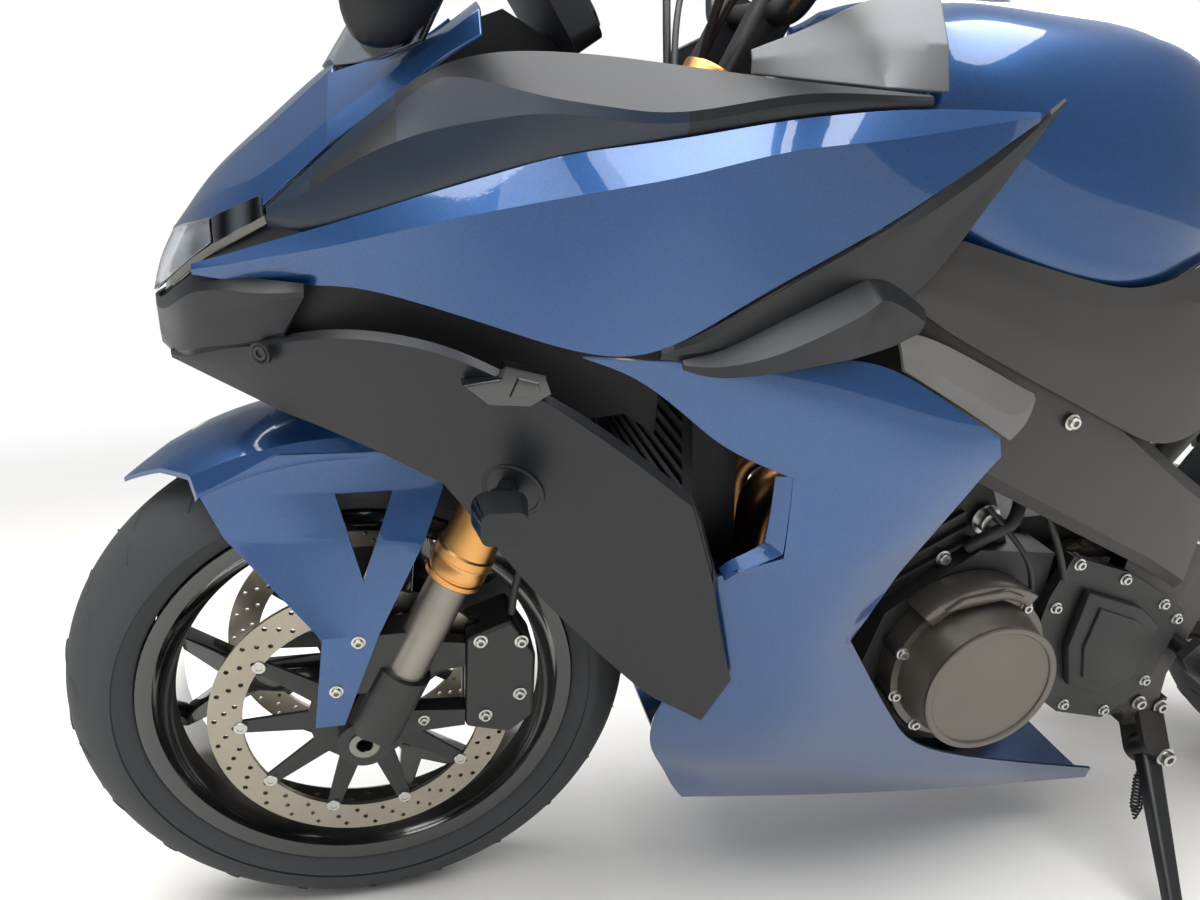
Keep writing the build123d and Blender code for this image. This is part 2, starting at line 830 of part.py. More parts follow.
# Fins across the barrels, between two points on the cylinders' middle line
barrel_low = (590, 470)
barrel_high = (540, 566)
barrel_length = 118.0
barrel_turn = 29.0
barrel_fins = 6
fin_reach = 7.0
gearbox_half = 96.0
with BuildPart() as engine_block:
    with BuildSketch(Plane.XZ):
        Polygon(
            (508, 300), (560, 262), (700, 240), (735, 250), (735, 490), (640, 500), (540, 430),
            align=None,
        )
    extrude(amount=case_half, both=True)
    with BuildSketch(Plane.XZ):
        Polygon((730, 245), (800, 262), (834, 330), (834, 470), (800, 505), (640, 500), align=None)
    extrude(amount=gearbox_half, both=True)
    with BuildSketch(Plane.XZ):
        Polygon((540, 400), (690, 490), (612, 640), (560, 700), (420, 620), (455, 540), align=None)
    extrude(amount=engine_half, both=True)
    with BuildSketch(Plane.XY.offset(250)):
        with Locations((700, 112), (700, -112)):
            Circle(8)
    extrude(amount=148.8 - 250)
    for row in range(barrel_fins):
        rise = (row + 0.5) / barrel_fins
        low_end = barrel_low[0] + (barrel_high[0] - barrel_low[0]) * rise
        low_up = barrel_low[1] + (barrel_high[1] - barrel_low[1]) * rise
        with BuildSketch(Plane.XZ):
            with Locations(Location((low_end, low_up, 0), (0, 0, barrel_turn))):
                Rectangle(barrel_length, 4)
        extrude(amount=engine_half + fin_reach, both=True)
finish(engine_block, "engine_block")

stator_face = 222.0
sprocket_cover_depth = 13.0
with BuildPart() as engine_covers:
    with BuildSketch(Plane.XZ.offset(case_half + seam)):
        with Locations((crank_x, crank_z)):
            Circle(92)
    extrude(amount=26)
    with BuildSketch(Plane.XZ.offset(case_half + seam + 26)):
        with Locations((crank_x, crank_z)):
            Circle(84)
    extrude(amount=stator_face - case_half - 26 - seam, taper=14)
    with BuildSketch(Plane.XZ.offset(case_half + seam)):
        Polygon(
            (722, 330), (732, 440), (748, 492), (830, 466), (900, 426), (928, 408), (912, 300),
            (859, 262), (790, 280), align=None,
        )
    extrude(amount=sprocket_cover_depth)
    with BuildSketch(Plane.XZ.offset(-case_half - seam)):
        with Locations((690, 350)):
            Circle(100)
    extrude(amount=-42, taper=10)
finish(engine_covers, "engine_covers")

# Radiator, leaning forward at the top, in front of the engine

radiator_lean = radians(6)
fin_rows = 16
radiator_stay_top = 779.4
radiator_plane = Plane(
    origin=(320, 0, 545), x_dir=(0, 1, 0), z_dir=(-cos(radiator_lean), 0, -sin(radiator_lean))
)
with BuildPart() as radiator:
    with BuildSketch(radiator_plane):
        Rectangle(330, 262)
    extrude(amount=12, both=True)
    with BuildSketch(radiator_plane):
        with Locations((-176, 0), (176, 0)):
            RectangleRounded(30, 268, 10)
    extrude(amount=20, both=True)
    with BuildSketch(radiator_plane.offset(12)):
        with GridLocations(0, 262 / fin_rows, 1, fin_rows):
            Rectangle(318, 5)
    extrude(amount=3)
    with BuildSketch(Plane.XY.offset(640)):
        with Locations((325, 34), (325, -34)):
            Circle(6.5)
    extrude(amount=radiator_stay_top - 640)
finish(radiator, "radiator")

# Exhaust: four headers to a collector under the engine, and a short silencer on the right

header_radius = 19.0
with BuildPart() as exhaust:
    for y in (-108, -36, 36, 108):
        with BuildLine() as pipe:
            FilletPolyline(
                (437.2, y, 579.9), (397, y, 562.3), (402, y * 0.8, 236), (470, y * 0.7, 200),
                (640, y * 0.6, 190), radius=34,
            )
        with BuildSketch(Plane(pipe.line @ 0, z_dir=pipe.line % 0)):
            Circle(header_radius)
        sweep(path=pipe.line)
    with BuildSketch(Plane.YZ.offset(630)):
        with Locations((0, 190)):
            RectangleRounded(170, 40, 18)
    with BuildSketch(Plane.YZ.offset(900)):
        with Locations((48, 172)):
            RectangleRounded(100, 56, 24)
    loft()
    with BuildSketch(Plane.YZ.offset(890)):
        with Locations((70, 174)):
            Circle(26)
    with BuildSketch(Plane.YZ.offset(1010)):
        with Locations((206, 226)):
            Circle(30)
    loft()
    with BuildSketch(Plane.YZ.offset(1000)):
        with Locations((212, 240)):
            RectangleRounded(110, 100, 28)
    with BuildSketch(Plane.YZ.offset(1330)):
        with Locations((214, 330)):
            RectangleRounded(118, 130, 32)
    loft()
finish(exhaust, "exhaust")

# Fairing panels

cowl_nose = bridge_skin(
    [
        (-142, [(46, 772), (30, 783), (15, 790), (0, 793)]),
        (-107, [(90, 806), (62, 825), (30, 838), (0, 842)]),
        (-56, [(130 - tuck, 829), (114, 850), (60, 880), (0, 891)]),
        (0, [(145 - tuck, 881), (126, 897), (68, 930), (0, 940)]),
    ],
    drop=skin + 1,
)
cowl_wings = side_skin(
    [
        (-3, [(122, 898), (130, 893), (143 - tuck, 878)]),
        (52, [(126, 938), (136, 936), (160 - tuck, 919)]),
        (76, [(128, 955), (150, 952), (168 - tuck, 941)]),
        (106, [(138, 980), (154, 976), (173 - tuck, 959)]),
    ]
)
with BuildPart() as upper_cowl:
    add(cowl_nose.part)
    add(cowl_wings.part)
finish(upper_cowl, "upper_cowl")

cockpit_cover = side_skin(
    [
        (-51, [(131, 830), (133, 828), (134, 825), (134, 822)]),
        (17, [(150, 893), (157, 880), (172, 872), (178, 838)]),
        (75, [(168, 938), (173, 933), (192, 897), (200, 857)]),
        (144, [(186, 951), (222, 919), (224, 911), (221, 882)]),
        (236, [(203, 946), (240, 912), (241, 905), (238, 900)]),
        (321, [(206, 941), (232, 934), (233, 927), (232, 918)]),
        (445, [(207, 939), (211, 938), (213, 935), (213, 932)]),
    ]
)
finish(cockpit_cover, "cockpit_cover")

side_cowl = side_skin(
    [
        (-111, [(118, 784), (120, 780), (119, 776)]),
        (-51, [(134, 821), (153, 797), (142, 776)]),
        (17, [(180, 836), (188, 817), (176, 782)]),
        (78, [(201, 855), (215, 837), (213, 772)]),
        (156, [(223, 883), (240, 858), (249, 754)]),
        (236, [(239, 898), (260, 877), (263, 757)]),
        (322, [(233, 914), (250, 898), (258, 806)]),
        (413, [(222, 925), (235, 907), (243, 850)]),
        (545, [(207, 931), (210, 928), (209, 925)]),
    ]
)
finish(side_cowl, "side_cowl")

side_garnish = side_skin(
    [
        (229, [(263, 754), (266, 751), (265, 747)]),
        (268, [(263, 769), (274, 745), (269, 734)]),
        (322, [(260, 799.4), (277, 757), (267, 738)]),
        (388, [(249, 832), (273, 786), (258, 746)]),
        (440, [(236, 859), (234, 832), (230, 751)]),
        (472, [(224, 876), (222, 854), (219, 824)]),
        (515, [(213, 901), (213, 884), (211, 862)]),
        (571, [(199, 943), (201, 940), (199, 937)]),
    ]
)
finish(side_garnish, "side_garnish")

garnish_trim = side_skin(
    [
        (443.3, [(227, 758), (238, 746), (247, 732)]),
        (472, [(222, 755), (244, 730), (246, 716)]),
        (569, [(216, 712), (234, 680), (238, 662)]),
        (603, [(213, 697), (217, 693), (217, 689)]),
    ]
)
finish(garnish_trim, "garnish_trim")

radiator_panel = side_skin(
    [
        (-146, [(60, 699), (62, 695), (60, 691)]),
        (-50, [(155, 734), (152, 705), (146, 672)]),
        (-6, [(185, 749), (180, 715), (158, 655)]),
        (76, [(228, 748), (215, 700), (181, 617)]),
        (144, [(245, 718), (228, 640), (190, 523)]),
        (194, [(252, 688), (235, 590), (192, 466)]),
        (271, [(255, 628), (238, 520), (195, 384)]),
        (324, [(237, 460), (225, 420), (205, 358)]),
        (338, [(227, 425), (229, 422), (227, 419)]),
    ]
)
finish(radiator_panel, "radiator_panel")

lower_cowl = level_skin(
    [
        (742, [(176, 238), (270, 250), (402, 244)]),
        (728, [(222, 244), (330, 254), (444, 244)]),
        (673, [(286, 248), (420, 262), (541, 254)]),
        (641, [(358, 252), (450, 264), (537, 256)]),
        (563, [(360, 254), (430, 262), (494, 250)]),
        (545, [(314, 246), (400, 258), (485, 246)]),
        (458, [(345, 234), (400, 244), (454, 232)]),
        (356, [(345, 210), (420, 224), (524, 208)]),
        (285, [(330, 176), (430, 200), (576, 190)]),
        (212, [(328, 140), (480, 160), (740, 160)]),
        (183, [(346, 131), (560, 142), (812, 146)]),
        (150, [(632, 128), (760, 130), (890, 134)]),
        (122, [(895, 125), (908, 127), (918, 125)]),
    ]
)
with BuildPart() as belly:
    with BuildSketch(Plane.XZ):
        Polygon((345, 183), (918, 119), (918, 123), (346, 187), (330, 232), (326, 230), align=None)
    extrude(amount=125, both=True)
with BuildPart() as lower_cowl_joined:
    add(lower_cowl.part)
    add(belly.part)
finish(lower_cowl_joined, "lower_cowl")

nose_block = level_block(
    [
        (701.4, [(-158, 0), (-150, 52), (-143, 60), (-133, 64)]),
        (731, [(-171, 0), (-167, 15), (-150, 58), (-114, 100)]),
    ],
    back=16,
)
nose_wings = side_skin(
    [
        (-144, [(58, 754), (63, 744), (58, 722)]),
        (-113, [(110, 773), (114, 757), (103, 722)]),
        (-66, [(138, 774), (150, 763), (139, 731)]),
        (-26, [(165, 774), (168, 768), (163, 756)]),
    ]
)
with BuildPart() as nose_panel:
    add(nose_block.part)
    add(nose_wings.part)
finish(nose_panel, "nose_panel")

headlight = level_block(
    [
        (731.5, [(-166, 0), (-163, 14), (-146, 44), (-120, 62)]),
        (758, [(-157, 0), (-150, 40), (-141, 56), (-116, 84)]),
        (783, [(-143, 0), (-134, 30), (-127, 60), (-106, 92)]),
        (797, [(-122, 0), (-118, 36), (-110, 74), (-98, 101)]),
    ],
    back=22,
)
finish(headlight, "headlight")

# Windscreen, bowed forward and raked back

screen_wall = 4.0
screen_tilt = radians(15)
with BuildPart() as windscreen:
    for x, z, back, half in ((-14, 929.7, 83, 128), (78, 1066, 68, 122), (168, 1197, 42, 84)):
        section_plane = Plane(
            origin=(x, 0, z),
            x_dir=(cos(screen_tilt), 0, sin(screen_tilt)),
            z_dir=(-sin(screen_tilt), 0, cos(screen_tilt)),
        )
        with BuildSketch(section_plane):
            with BuildLine():
                ThreePointArc((back, -half), (0, 0), (back, half))
                Line((back, half), (back + screen_wall, half))
                ThreePointArc((back + screen_wall, half), (screen_wall, 0), (back + screen_wall, -half))
                Line((back + screen_wall, -half), (back, -half))
            make_face()
    loft(ruled=True)
finish(windscreen, "windscreen")

panel_tilt = radians(35)
panel_plane = Plane(
    origin=(182, 0, 1012), x_dir=(0, 1, 0), z_dir=(cos(panel_tilt), 0, sin(panel_tilt))
)
with BuildPart() as instrument_panel:
    with BuildSketch(panel_plane):
        RectangleRounded(190, 112, 16)
    extrude(amount=-26)
    with BuildSketch(Plane.XZ):
        Polygon(
            (241.2, 805), (271.2, 868), (205, 905), (190, 960), (140, 985), (-6, 926), (-10, 915),
            (150, 905), align=None,
        )
    extrude(amount=20, both=True)
finish(instrument_panel, "instrument_panel")

# Mirrors on tapering arms, each on a foot that sits on the cowl's wing

# Each row is a section of the arm: middle (x, half width, z), length along x, thickness
mirror_arm = [
    ((60, 182, 1010), 52, 26),
    ((70, 236, 1062), 42, 22),
    ((88, 300, 1094), 40, 20),
]
with BuildPart() as mirrors:
    for sign in (-1, 1):
        seat_a = Vector(52, sign * 136, 936)
        seat_b = Vector(76, sign * 150, 952)
        seat_c = Vector(52, sign * (160 - tuck), 919)
        seat_normal = (seat_b - seat_a).cross(seat_c - seat_a).normalized()
        seat_normal = seat_normal if seat_normal.Z > 0 else seat_normal * -1
        seat_middle = (seat_a + seat_b + seat_c) * (1 / 3) + seat_normal * (1.2 * seam)
        seat_along = (seat_b - seat_a).normalized()
        with BuildSketch(Plane(seat_middle, x_dir=seat_along, z_dir=seat_normal)):
            RectangleRounded(22, 20, 6)
        extrude(amount=16)
        with BuildSketch(Plane(seat_middle + seat_normal * 8, x_dir=seat_along, z_dir=seat_normal)):
            Rectangle(54, 30)
        last = seat_middle + seat_normal * 8
        for (x, y, z), length, thick in mirror_arm:
            middle = Vector(x, sign * y, z)
            with BuildSketch(Plane(middle, x_dir=(1, 0, 0), z_dir=middle - last)):
                Rectangle(length, thick)
            last = middle
        loft(ruled=True)
        for x, wide, tall in ((70, 90, 40), (88, 150, 84), (112, 168, 100)):
            with BuildSketch(Plane.YZ.offset(x)):
                with Locations((sign * 328, 1098)):
                    RectangleRounded(wide, tall, 19)
        loft(ruled=True)
finish(mirrors, "mirrors")

front_indicator_seat = (112, 212.8, 640)
front_indicator_facing = (-0.464, 0.83, -0.307)
with BuildPart() as indicators:
    for sign in (-1, 1):
        seat_x, seat_y, seat_z = front_indicator_seat
        facing_x, facing_y, facing_z = front_indicator_facing
        with BuildSketch(
            Plane((seat_x, sign * seat_y, seat_z), z_dir=(facing_x, sign * facing_y, facing_z))
        ):
            Circle(9)
        extrude(amount=26)
        for x, y, z, reach in ((104, 226, 634, 50), (1742, 46 + seam, 846, 58)):
            with BuildSketch(Plane.XZ.offset(-sign * y)):
                with Locations((x, z)):
                    RectangleRounded(24, 22, 8)
            extrude(amount=-sign * reach * 0.4)
            with BuildSketch(Plane.XZ.offset(-sign * (y + reach * 0.4))):
                with Locations((x - 4, z)):
                    RectangleRounded(44, 36, 12)
            extrude(amount=-sign * reach * 0.6, taper=8)
finish(indicators, "indicators")

# Fuel tank, its covers and the hinged filler cap

cap_x = 590.0
cap_radius = 46.0
cap_top = 1036.0
fuel_tank = crowned_body(
    [
        (474, (150, 842), (172, 930), (140, 1000), 1012),
        (540, (196, 820), (186, 930), (148, 1000), 1026),
        (640, (203.8, 796), (184, 925), (148, 985), 1024),
        (740, (196, 800), (170, 900), (130, 955), 1000),
        (830, (150, 822), (130, 868), (96, 900), 940),
        (890, (104, 832), (92, 852), (70, 868), 884),
    ]
)
with BuildPart() as tank:
    add(fuel_tank.part)
    with BuildSketch(Plane.XY.offset(cap_top - 26)):
        with Locations((cap_x, 0)):
            Circle(cap_radius + 12)
    extrude(amount=20)
finish(tank, "fuel_tank")

with BuildPart() as fuel_cap:
    with BuildSketch(Plane.XY.offset(cap_top - 6 + seam)):
        with Locations((cap_x, 0)):
            Circle(cap_radius)
    extrude(amount=9)
finish(fuel_cap, "fuel_cap")

tank_side = side_skin(
    [
        (441, [(214, 793), (215, 791), (215, 789)]),
        (502, [(206, 830), (212, 800), (214, 753)]),
        (600, [(208, 806), (211, 770), (212, 708)]),
        (684, [(208, 790), (210, 745), (207, 672)]),
        (765, [(198, 812), (204, 740), (201, 636)]),
        (833, [(166, 826), (192, 740), (192, 645)]),
        (900, [(150, 832), (168, 760), (172, 690)]),
    ]
)
tank_front = side_skin(
    [
        (331, [(114, 964), (119, 956), (120, 946)]),
        (371, [(128, 982), (140, 965), (152, 944)]),
        (417, [(138, 1006), (165, 975), (188, 942)]),
        (474 - seam, [(148, 1012), (174, 975), (186, 942)]),
    ]
)
with BuildPart() as tank_covers:
    add(tank_side.part)
    add(tank_front.part)
    with BuildSketch(Plane.YZ.offset(474 - seam)):
        with Locations((158, 964), (-158, 964)):
            Rectangle(34, 18)
    extrude(amount=-16)
finish(tank_covers, "tank_covers")

# Seats

rider_seat = crowned_body(
    [
        (800, (100, 792), (104, 800), (88, 806), 812),
        (900, (128, 772), (134, 792), (112, 806), 812),
        (1000, (144, rail_top(1000)), (150, 790), (126, 806), 812),
        (1110, (146, rail_top(1110)), (150, 810), (126, 826), 833),
        (1150, (140, rail_top(1150)), (142, 838), (118, 856), 862),
    ]
)
finish(rider_seat, "rider_seat")
pillion_seat = crowned_body(
    [
        (1151, (126, rail_top(1151)), (130, 862), (106, 878), 884),
        (1280, (118, rail_top(1280)), (122, 884), (100, 900), 908),
        (1420, (98, rail_top(1420)), (104, 896), (86, 910), 917),
        (1490, (78, rail_top(1490)), (86, 898), (72, 908), 914),
    ]
)
finish(pillion_seat, "pillion_seat")

# Tail: side covers and a top cover, grab rails, lamp and the lower fender

tail_sides = side_skin(
    [
        (905, [(152, 780), (160, 762), (150, 716)]),
        (1050, [(158, 772), (172, 760), (160, 722)]),
        (1200, [(146, 842), (164, 820), (150, 762)]),
        (1400, [(112, 868), (136, 862), (122, 806)]),
        (1600, [(90, 912), (106, 892), (92, 842)]),
        (1780, [(58, 920), (66, 908), (60, 882)]),
    ]
)
tail_top = bridge_skin(
    [
        (1492, [(86, 900), (60, 916), (0, 921)]),
        (1600, [(78, 914), (50, 926), (0, 930)]),
        (1790, [(52, 922), (34, 930), (0, 933)]),
    ],
    drop=skin,
)
with BuildPart() as tail_cowl:
    add(tail_sides.part)
    add(tail_top.part)
finish(tail_cowl, "tail_cowl")

with BuildPart() as grab_rails:
    for sign in (-1, 1):
        with BuildLine() as rail:
            FilletPolyline(
                (1262, sign * 140, 861.2), (1330, sign * 160, 890), (1560, sign * 140, 930),
                (1640, sign * 90, 920.5), radius=34,
            )
        with BuildSketch(Plane(rail.line @ 0, z_dir=rail.line % 0)):
            Circle(10)
        sweep(path=rail.line)
finish(grab_rails, "grab_rails")

with BuildPart() as tail_light:
    for x, wide, tall in ((1780, 100, 34), (1838, 84, 22)):
        with BuildSketch(Plane.YZ.offset(x)):
            with Locations((0, 897.4)):
                RectangleRounded(wide, tall, 9)
    loft()
finish(tail_light, "tail_light")

with BuildPart() as rear_fender:
    with BuildSketch(Plane.XZ):
        Polygon(
            (1550 + seam, 852), (1700, 862), (1784, 880), (1830, 700), (1822, 696), (1772, 812),
            (1700, 830), (1550 + seam, 838), align=None,
        )
    extrude(amount=46, both=True)
finish(rear_fender, "rear_fender")

# Footpegs on their plates

with BuildPart() as footpegs:
    for sign in (-1, 1):
        with BuildSketch(Plane.XZ.offset(-sign * (plate_inner + plate_thickness + seam))):
            with Locations((950, 350)):
                Circle(10)
        extrude(amount=-sign * 26)
        with BuildSketch(Plane.XZ.offset(-sign * peg_plate)):
            Polygon((930, 350), (950, 372), (970, 366), (1010, 330), (985, 300), (945, 330), align=None)
        extrude(amount=-sign * 12)
        with BuildSketch(Plane.XZ.offset(-sign * (peg_plate + 12))):
            with Locations((985, 322)):
                Circle(13)
        extrude(amount=-sign * 90)
        with BuildSketch(Plane.XZ.offset(-sign * pillion_plate)):
            Polygon((1140, 655), (1160, 708), (1200, 712), (1250, 486), (1225, 474), align=None)
        extrude(amount=-sign * 12)
        with BuildSketch(Plane.XZ.offset(-sign * (pillion_plate + 12))):
            with Locations((1234, 488)):
                Circle(12)
        extrude(amount=-sign * 88)
finish(footpegs, "footpegs")

# Rear suspension: swingarm, axle and shock

rear_axle_plane = Plane((wheelbase, 0, rear_axle_z), x_dir=(1, 0, 0), z_dir=(0, -1, 0))
with BuildPart() as swingarm:
    for x, (near, far), (low, high) in (
        (846, (60, 94), (370, 434)),
        (960, (66, 98), (352, 430)),
        (1050, (84, 122), (336, 418)),
        (wheelbase - 314, (122, 150), (rear_axle_z + 10, rear_axle_z + 84)),
        (wheelbase - 120, (126, 154), (rear_axle_z - 16, rear_axle_z + 40)),
        (wheelbase + 40, (126, 154), (rear_axle_z - 26, rear_axle_z + 24)),
    ):
        with BuildSketch(Plane.YZ.offset(x)):
            Polygon((-near, low), (-near, high), (-far, high - 8), (-far, low + 8), align=None)
    loft(ruled=True)
    mirror(about=Plane.XZ)
    with BuildSketch(Plane.XZ):
        Polygon((1030, 362), (1030, 410), (1095, 400), (1100, 350), align=None)
    extrude(amount=90, both=True)
    with BuildSketch(Plane.XZ):
        Polygon(
            (1034, 370), (1060, 360), (1010, 276), (960, 276), (960, shock_bottom - seam),
            (1024, shock_bottom - seam), align=None,
        )
    extrude(amount=16, both=True)
    with BuildSketch(Plane.XZ):
        with Locations((wheelbase, rear_axle_z)):
            Circle(rear_axle_radius + seam)
    extrude(amount=200, both=True, mode=Mode.SUBTRACT)
    with BuildSketch(Plane.XZ):
        with Locations((pivot_x, pivot_z)):
            Circle(pivot_radius)
    extrude(amount=plate_inner + plate_thickness - 1, both=True)
    with BuildSketch(Plane.XZ):
        with Locations((wheelbase, rear_axle_z)):
            Circle(rear_axle_radius)
            Circle(rear_axle_bore, mode=Mode.SUBTRACT)
    extrude(amount=rear_axle_end, both=True)
finish(swingarm, "swingarm")

with BuildPart() as shock:
    with BuildSketch(Plane.XY.offset(shock_bottom + 34)):
        with Locations((975, 0)):
            Circle(31)
    extrude(amount=136)
    with BuildSketch(Plane.XY.offset(shock_bottom)):
        with Locations((975, 0)):
            Circle(14)
    extrude(amount=shock_top - shock_bottom)
finish(shock, "shock")

with BuildPart() as rear_caliper:
    with BuildSketch(rear_axle_plane.offset(-rear_disc_face + 26)):
        Polygon((-120, 84), (-60, 118), (-35, 84), (-92, 40), align=None)
    extrude(amount=-48)
    with BuildSketch(rear_axle_plane.offset(-rear_disc_face + rear_disc_thickness + pad_gap)):
        Circle(rear_disc_radius + 6)
    extrude(amount=-rear_disc_thickness - 2 * pad_gap, mode=Mode.SUBTRACT)
    with BuildSketch(rear_axle_plane.offset(-rear_disc_face - pad_gap)):
        Polygon((-94, 36.4), (-64, 36.4), (-64, 60), (-94, 60), align=None)
    extrude(amount=-40)
finish(rear_caliper, "rear_caliper")

hugger_plane = Plane(
    origin=(wheelbase, 0, rear_axle_z),
    x_dir=(0, 1, 0),
    z_dir=(cos(radians(74)), 0, sin(radians(74))),
)
with BuildPart() as hugger:
    hugger_inner = rear_tyre_radius + 18
    with BuildSketch(hugger_plane):
        with BuildLine():
            Polyline(
                (-101, hugger_inner - 14), (-96, hugger_inner + 8), (0, hugger_inner + 14),
                (96, hugger_inner + 8), (101, hugger_inner - 14), (98, hugger_inner - 14),
                (93, hugger_inner + 5), (0, hugger_inner + 11), (-93, hugger_inner + 5),
                (-98, hugger_inner - 14), close=True,
            )
        make_face()
    revolve(axis=rear_axis, revolution_arc=72)
    for sign in (-1, 1):
        with BuildSketch(Plane.XZ.offset(-sign * 97)):
            with Locations((wheelbase - 296, rear_axle_z + 72)):
                Circle(7)
        extrude(amount=-sign * (121.8 - 97))
finish(hugger, "hugger")

# Lean the whole machine onto its stand and set the origin under the middle of its box

leaned = Location((0, 0, 0), (lean_angle, 0, 0))
boxes = [part.moved(leaned).bounding_box() for part in pieces.values()]
low_x = min(box.min.X for box in boxes)
high_x = max(box.max.X for box in boxes)
low_y = min(box.min.Y for box in boxes)
high_y = max(box.max.Y for box in boxes)
parked = Location((-(low_x + high_x) / 2, -(low_y + high_y) / 2, -ground_offset)) * leaned

for name, part in pieces.items():
    node = part.moved(parked)
    node.label = name
    export_step(node, f"parts/{name}.step")
print(len(pieces), "pieces", "length", high_x - low_x, "width", high_y - low_y)
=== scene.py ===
from math import atan2, cos, pi, radians, sin, sqrt

import bmesh
import bpy
from mathutils import Matrix, Vector
from mathutils.bvhtree import BVHTree


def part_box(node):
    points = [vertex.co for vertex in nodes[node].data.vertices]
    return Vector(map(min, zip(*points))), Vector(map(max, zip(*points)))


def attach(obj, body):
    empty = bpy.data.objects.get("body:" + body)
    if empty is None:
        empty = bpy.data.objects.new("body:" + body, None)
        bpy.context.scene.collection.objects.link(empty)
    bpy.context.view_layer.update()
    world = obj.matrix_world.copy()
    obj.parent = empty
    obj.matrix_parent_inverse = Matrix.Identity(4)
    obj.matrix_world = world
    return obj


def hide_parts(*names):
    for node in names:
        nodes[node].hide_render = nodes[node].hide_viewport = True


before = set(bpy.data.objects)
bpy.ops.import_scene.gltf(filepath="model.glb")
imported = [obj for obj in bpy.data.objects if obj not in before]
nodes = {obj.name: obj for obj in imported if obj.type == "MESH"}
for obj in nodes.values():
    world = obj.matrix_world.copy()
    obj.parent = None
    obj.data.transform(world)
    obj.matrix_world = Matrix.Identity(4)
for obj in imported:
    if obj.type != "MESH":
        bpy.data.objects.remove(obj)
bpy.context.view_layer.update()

print("frame loaded:", len(nodes), "nodes")

# The machine is measured upright, in millimetres: x back from the front axle, y to the rider's
# right, z up from the ground. It is parked leaning over to its left, onto the side stand.
mm = 0.001
stance = {"lean": 13.0, "axleHeight": 300.0, "rake": 25.0}

tyreLow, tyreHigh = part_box("front_tyre")
leanTurn = Matrix.Rotation(radians(stance["lean"]), 4, "X") @ Matrix.Scale(mm, 4)
wheelMiddle = (tyreLow + tyreHigh) / 2
parked = Matrix.Translation(wheelMiddle - leanTurn @ Vector((0, 0, stance["axleHeight"]))) @ leanTurn


def onBike(x, y, z):
    return parked @ Vector((x, y, z))


# Colours and material nodes. 1000 over a size in mm is the scale of its pattern. Real flake and
# real moulding grain are under 0.2 mm, too fine to show here, so they are drawn 0.7 mm and up.

patternMm = {"peel": 4.0, "cloud": 90.0, "metalCloud": 45.0, "wipe": 60.0}


def hexColour(code):
    parts = [int(code[i:i + 2], 16) / 255 for i in (1, 3, 5)]
    return [p / 12.92 if p <= 0.04045 else ((p + 0.055) / 1.055) ** 2.4 for p in parts] + [1.0]


def addNode(tree, kind, sockets=None, **settings):
    node = tree.nodes.new(kind)
    for name, value in settings.items():
        setattr(node, name, value)
    for key, value in (sockets or {}).items():
        if isinstance(value, bpy.types.NodeSocket):
            tree.links.new(value, node.inputs[key])
        else:
            node.inputs[key].default_value = value
    return node


def newFinish(name, **shaderValues):
    material = bpy.data.materials.new(name)
    material.use_nodes = True
    tree = material.node_tree
    tree.nodes.clear()
    shader = addNode(tree, "ShaderNodeBsdfPrincipled", {
        key.replace("_", " "): value for key, value in shaderValues.items()})
    addNode(tree, "ShaderNodeOutputMaterial", {"Surface": shader.outputs[0]})
    return material, tree, shader


def metallicLacquer(name, dark, light, flakeMm, roughness):
    # aluminium flake under clear lacquer: soft metal glow, sharp gloss on top, faint orange peel
    material, tree, shader = newFinish(name, Metallic=0.62, Roughness=roughness, Coat_Weight=1.0,
                                       Coat_Roughness=0.035, Coat_IOR=1.5)
    spot = addNode(tree, "ShaderNodeTexCoord").outputs["Object"]
    flake = addNode(tree, "ShaderNodeTexVoronoi", {"Vector": spot, "Scale": 1000 / flakeMm})
    shade = addNode(tree, "ShaderNodeMix", {0: flake.outputs["Color"], 6: hexColour(dark),
                                            7: hexColour(light)}, data_type="RGBA")
    tree.links.new(shade.outputs[2], shader.inputs["Base Color"])
    peel = addNode(tree, "ShaderNodeTexNoise", {"Vector": spot, "Scale": 1000 / patternMm["peel"],
                                                "Detail": 1.0})
    bump = addNode(tree, "ShaderNodeBump", {"Height": peel.outputs["Fac"], "Strength": 0.012,
                                            "Distance": mm})
    tree.links.new(bump.outputs[0], shader.inputs["Coat Normal"])
    return material


def grainedPolymer(name, dark, light, grainMm, roughLow, roughHigh, depth, **extra):
    # moulded or pressed surface: fine spark-eroded grain, slightly cloudy gloss
    material, tree, shader = newFinish(name, **extra)
    spot = addNode(tree, "ShaderNodeTexCoord").outputs["Object"]
    cloud = addNode(tree, "ShaderNodeTexNoise", {"Vector": spot, "Scale": 1000 / patternMm["cloud"],
                                                 "Detail": 4.0})
    grain = addNode(tree, "ShaderNodeTexNoise", {"Vector": spot, "Scale": 1000 / grainMm,
                                                 "Detail": 2.0})
    shade = addNode(tree, "ShaderNodeMix", {0: cloud.outputs["Fac"], 6: hexColour(dark),
                                            7: hexColour(light)}, data_type="RGBA")
    tree.links.new(shade.outputs[2], shader.inputs["Base Color"])
    rough = addNode(tree, "ShaderNodeMapRange", {"Value": cloud.outputs["Fac"], "To Min": roughLow,
                                                 "To Max": roughHigh})
    tree.links.new(rough.outputs[0], shader.inputs["Roughness"])
    bump = addNode(tree, "ShaderNodeBump", {"Height": grain.outputs["Fac"], "Strength": depth,
                                            "Distance": mm})
    tree.links.new(bump.outputs[0], shader.inputs["Normal"])
    return material


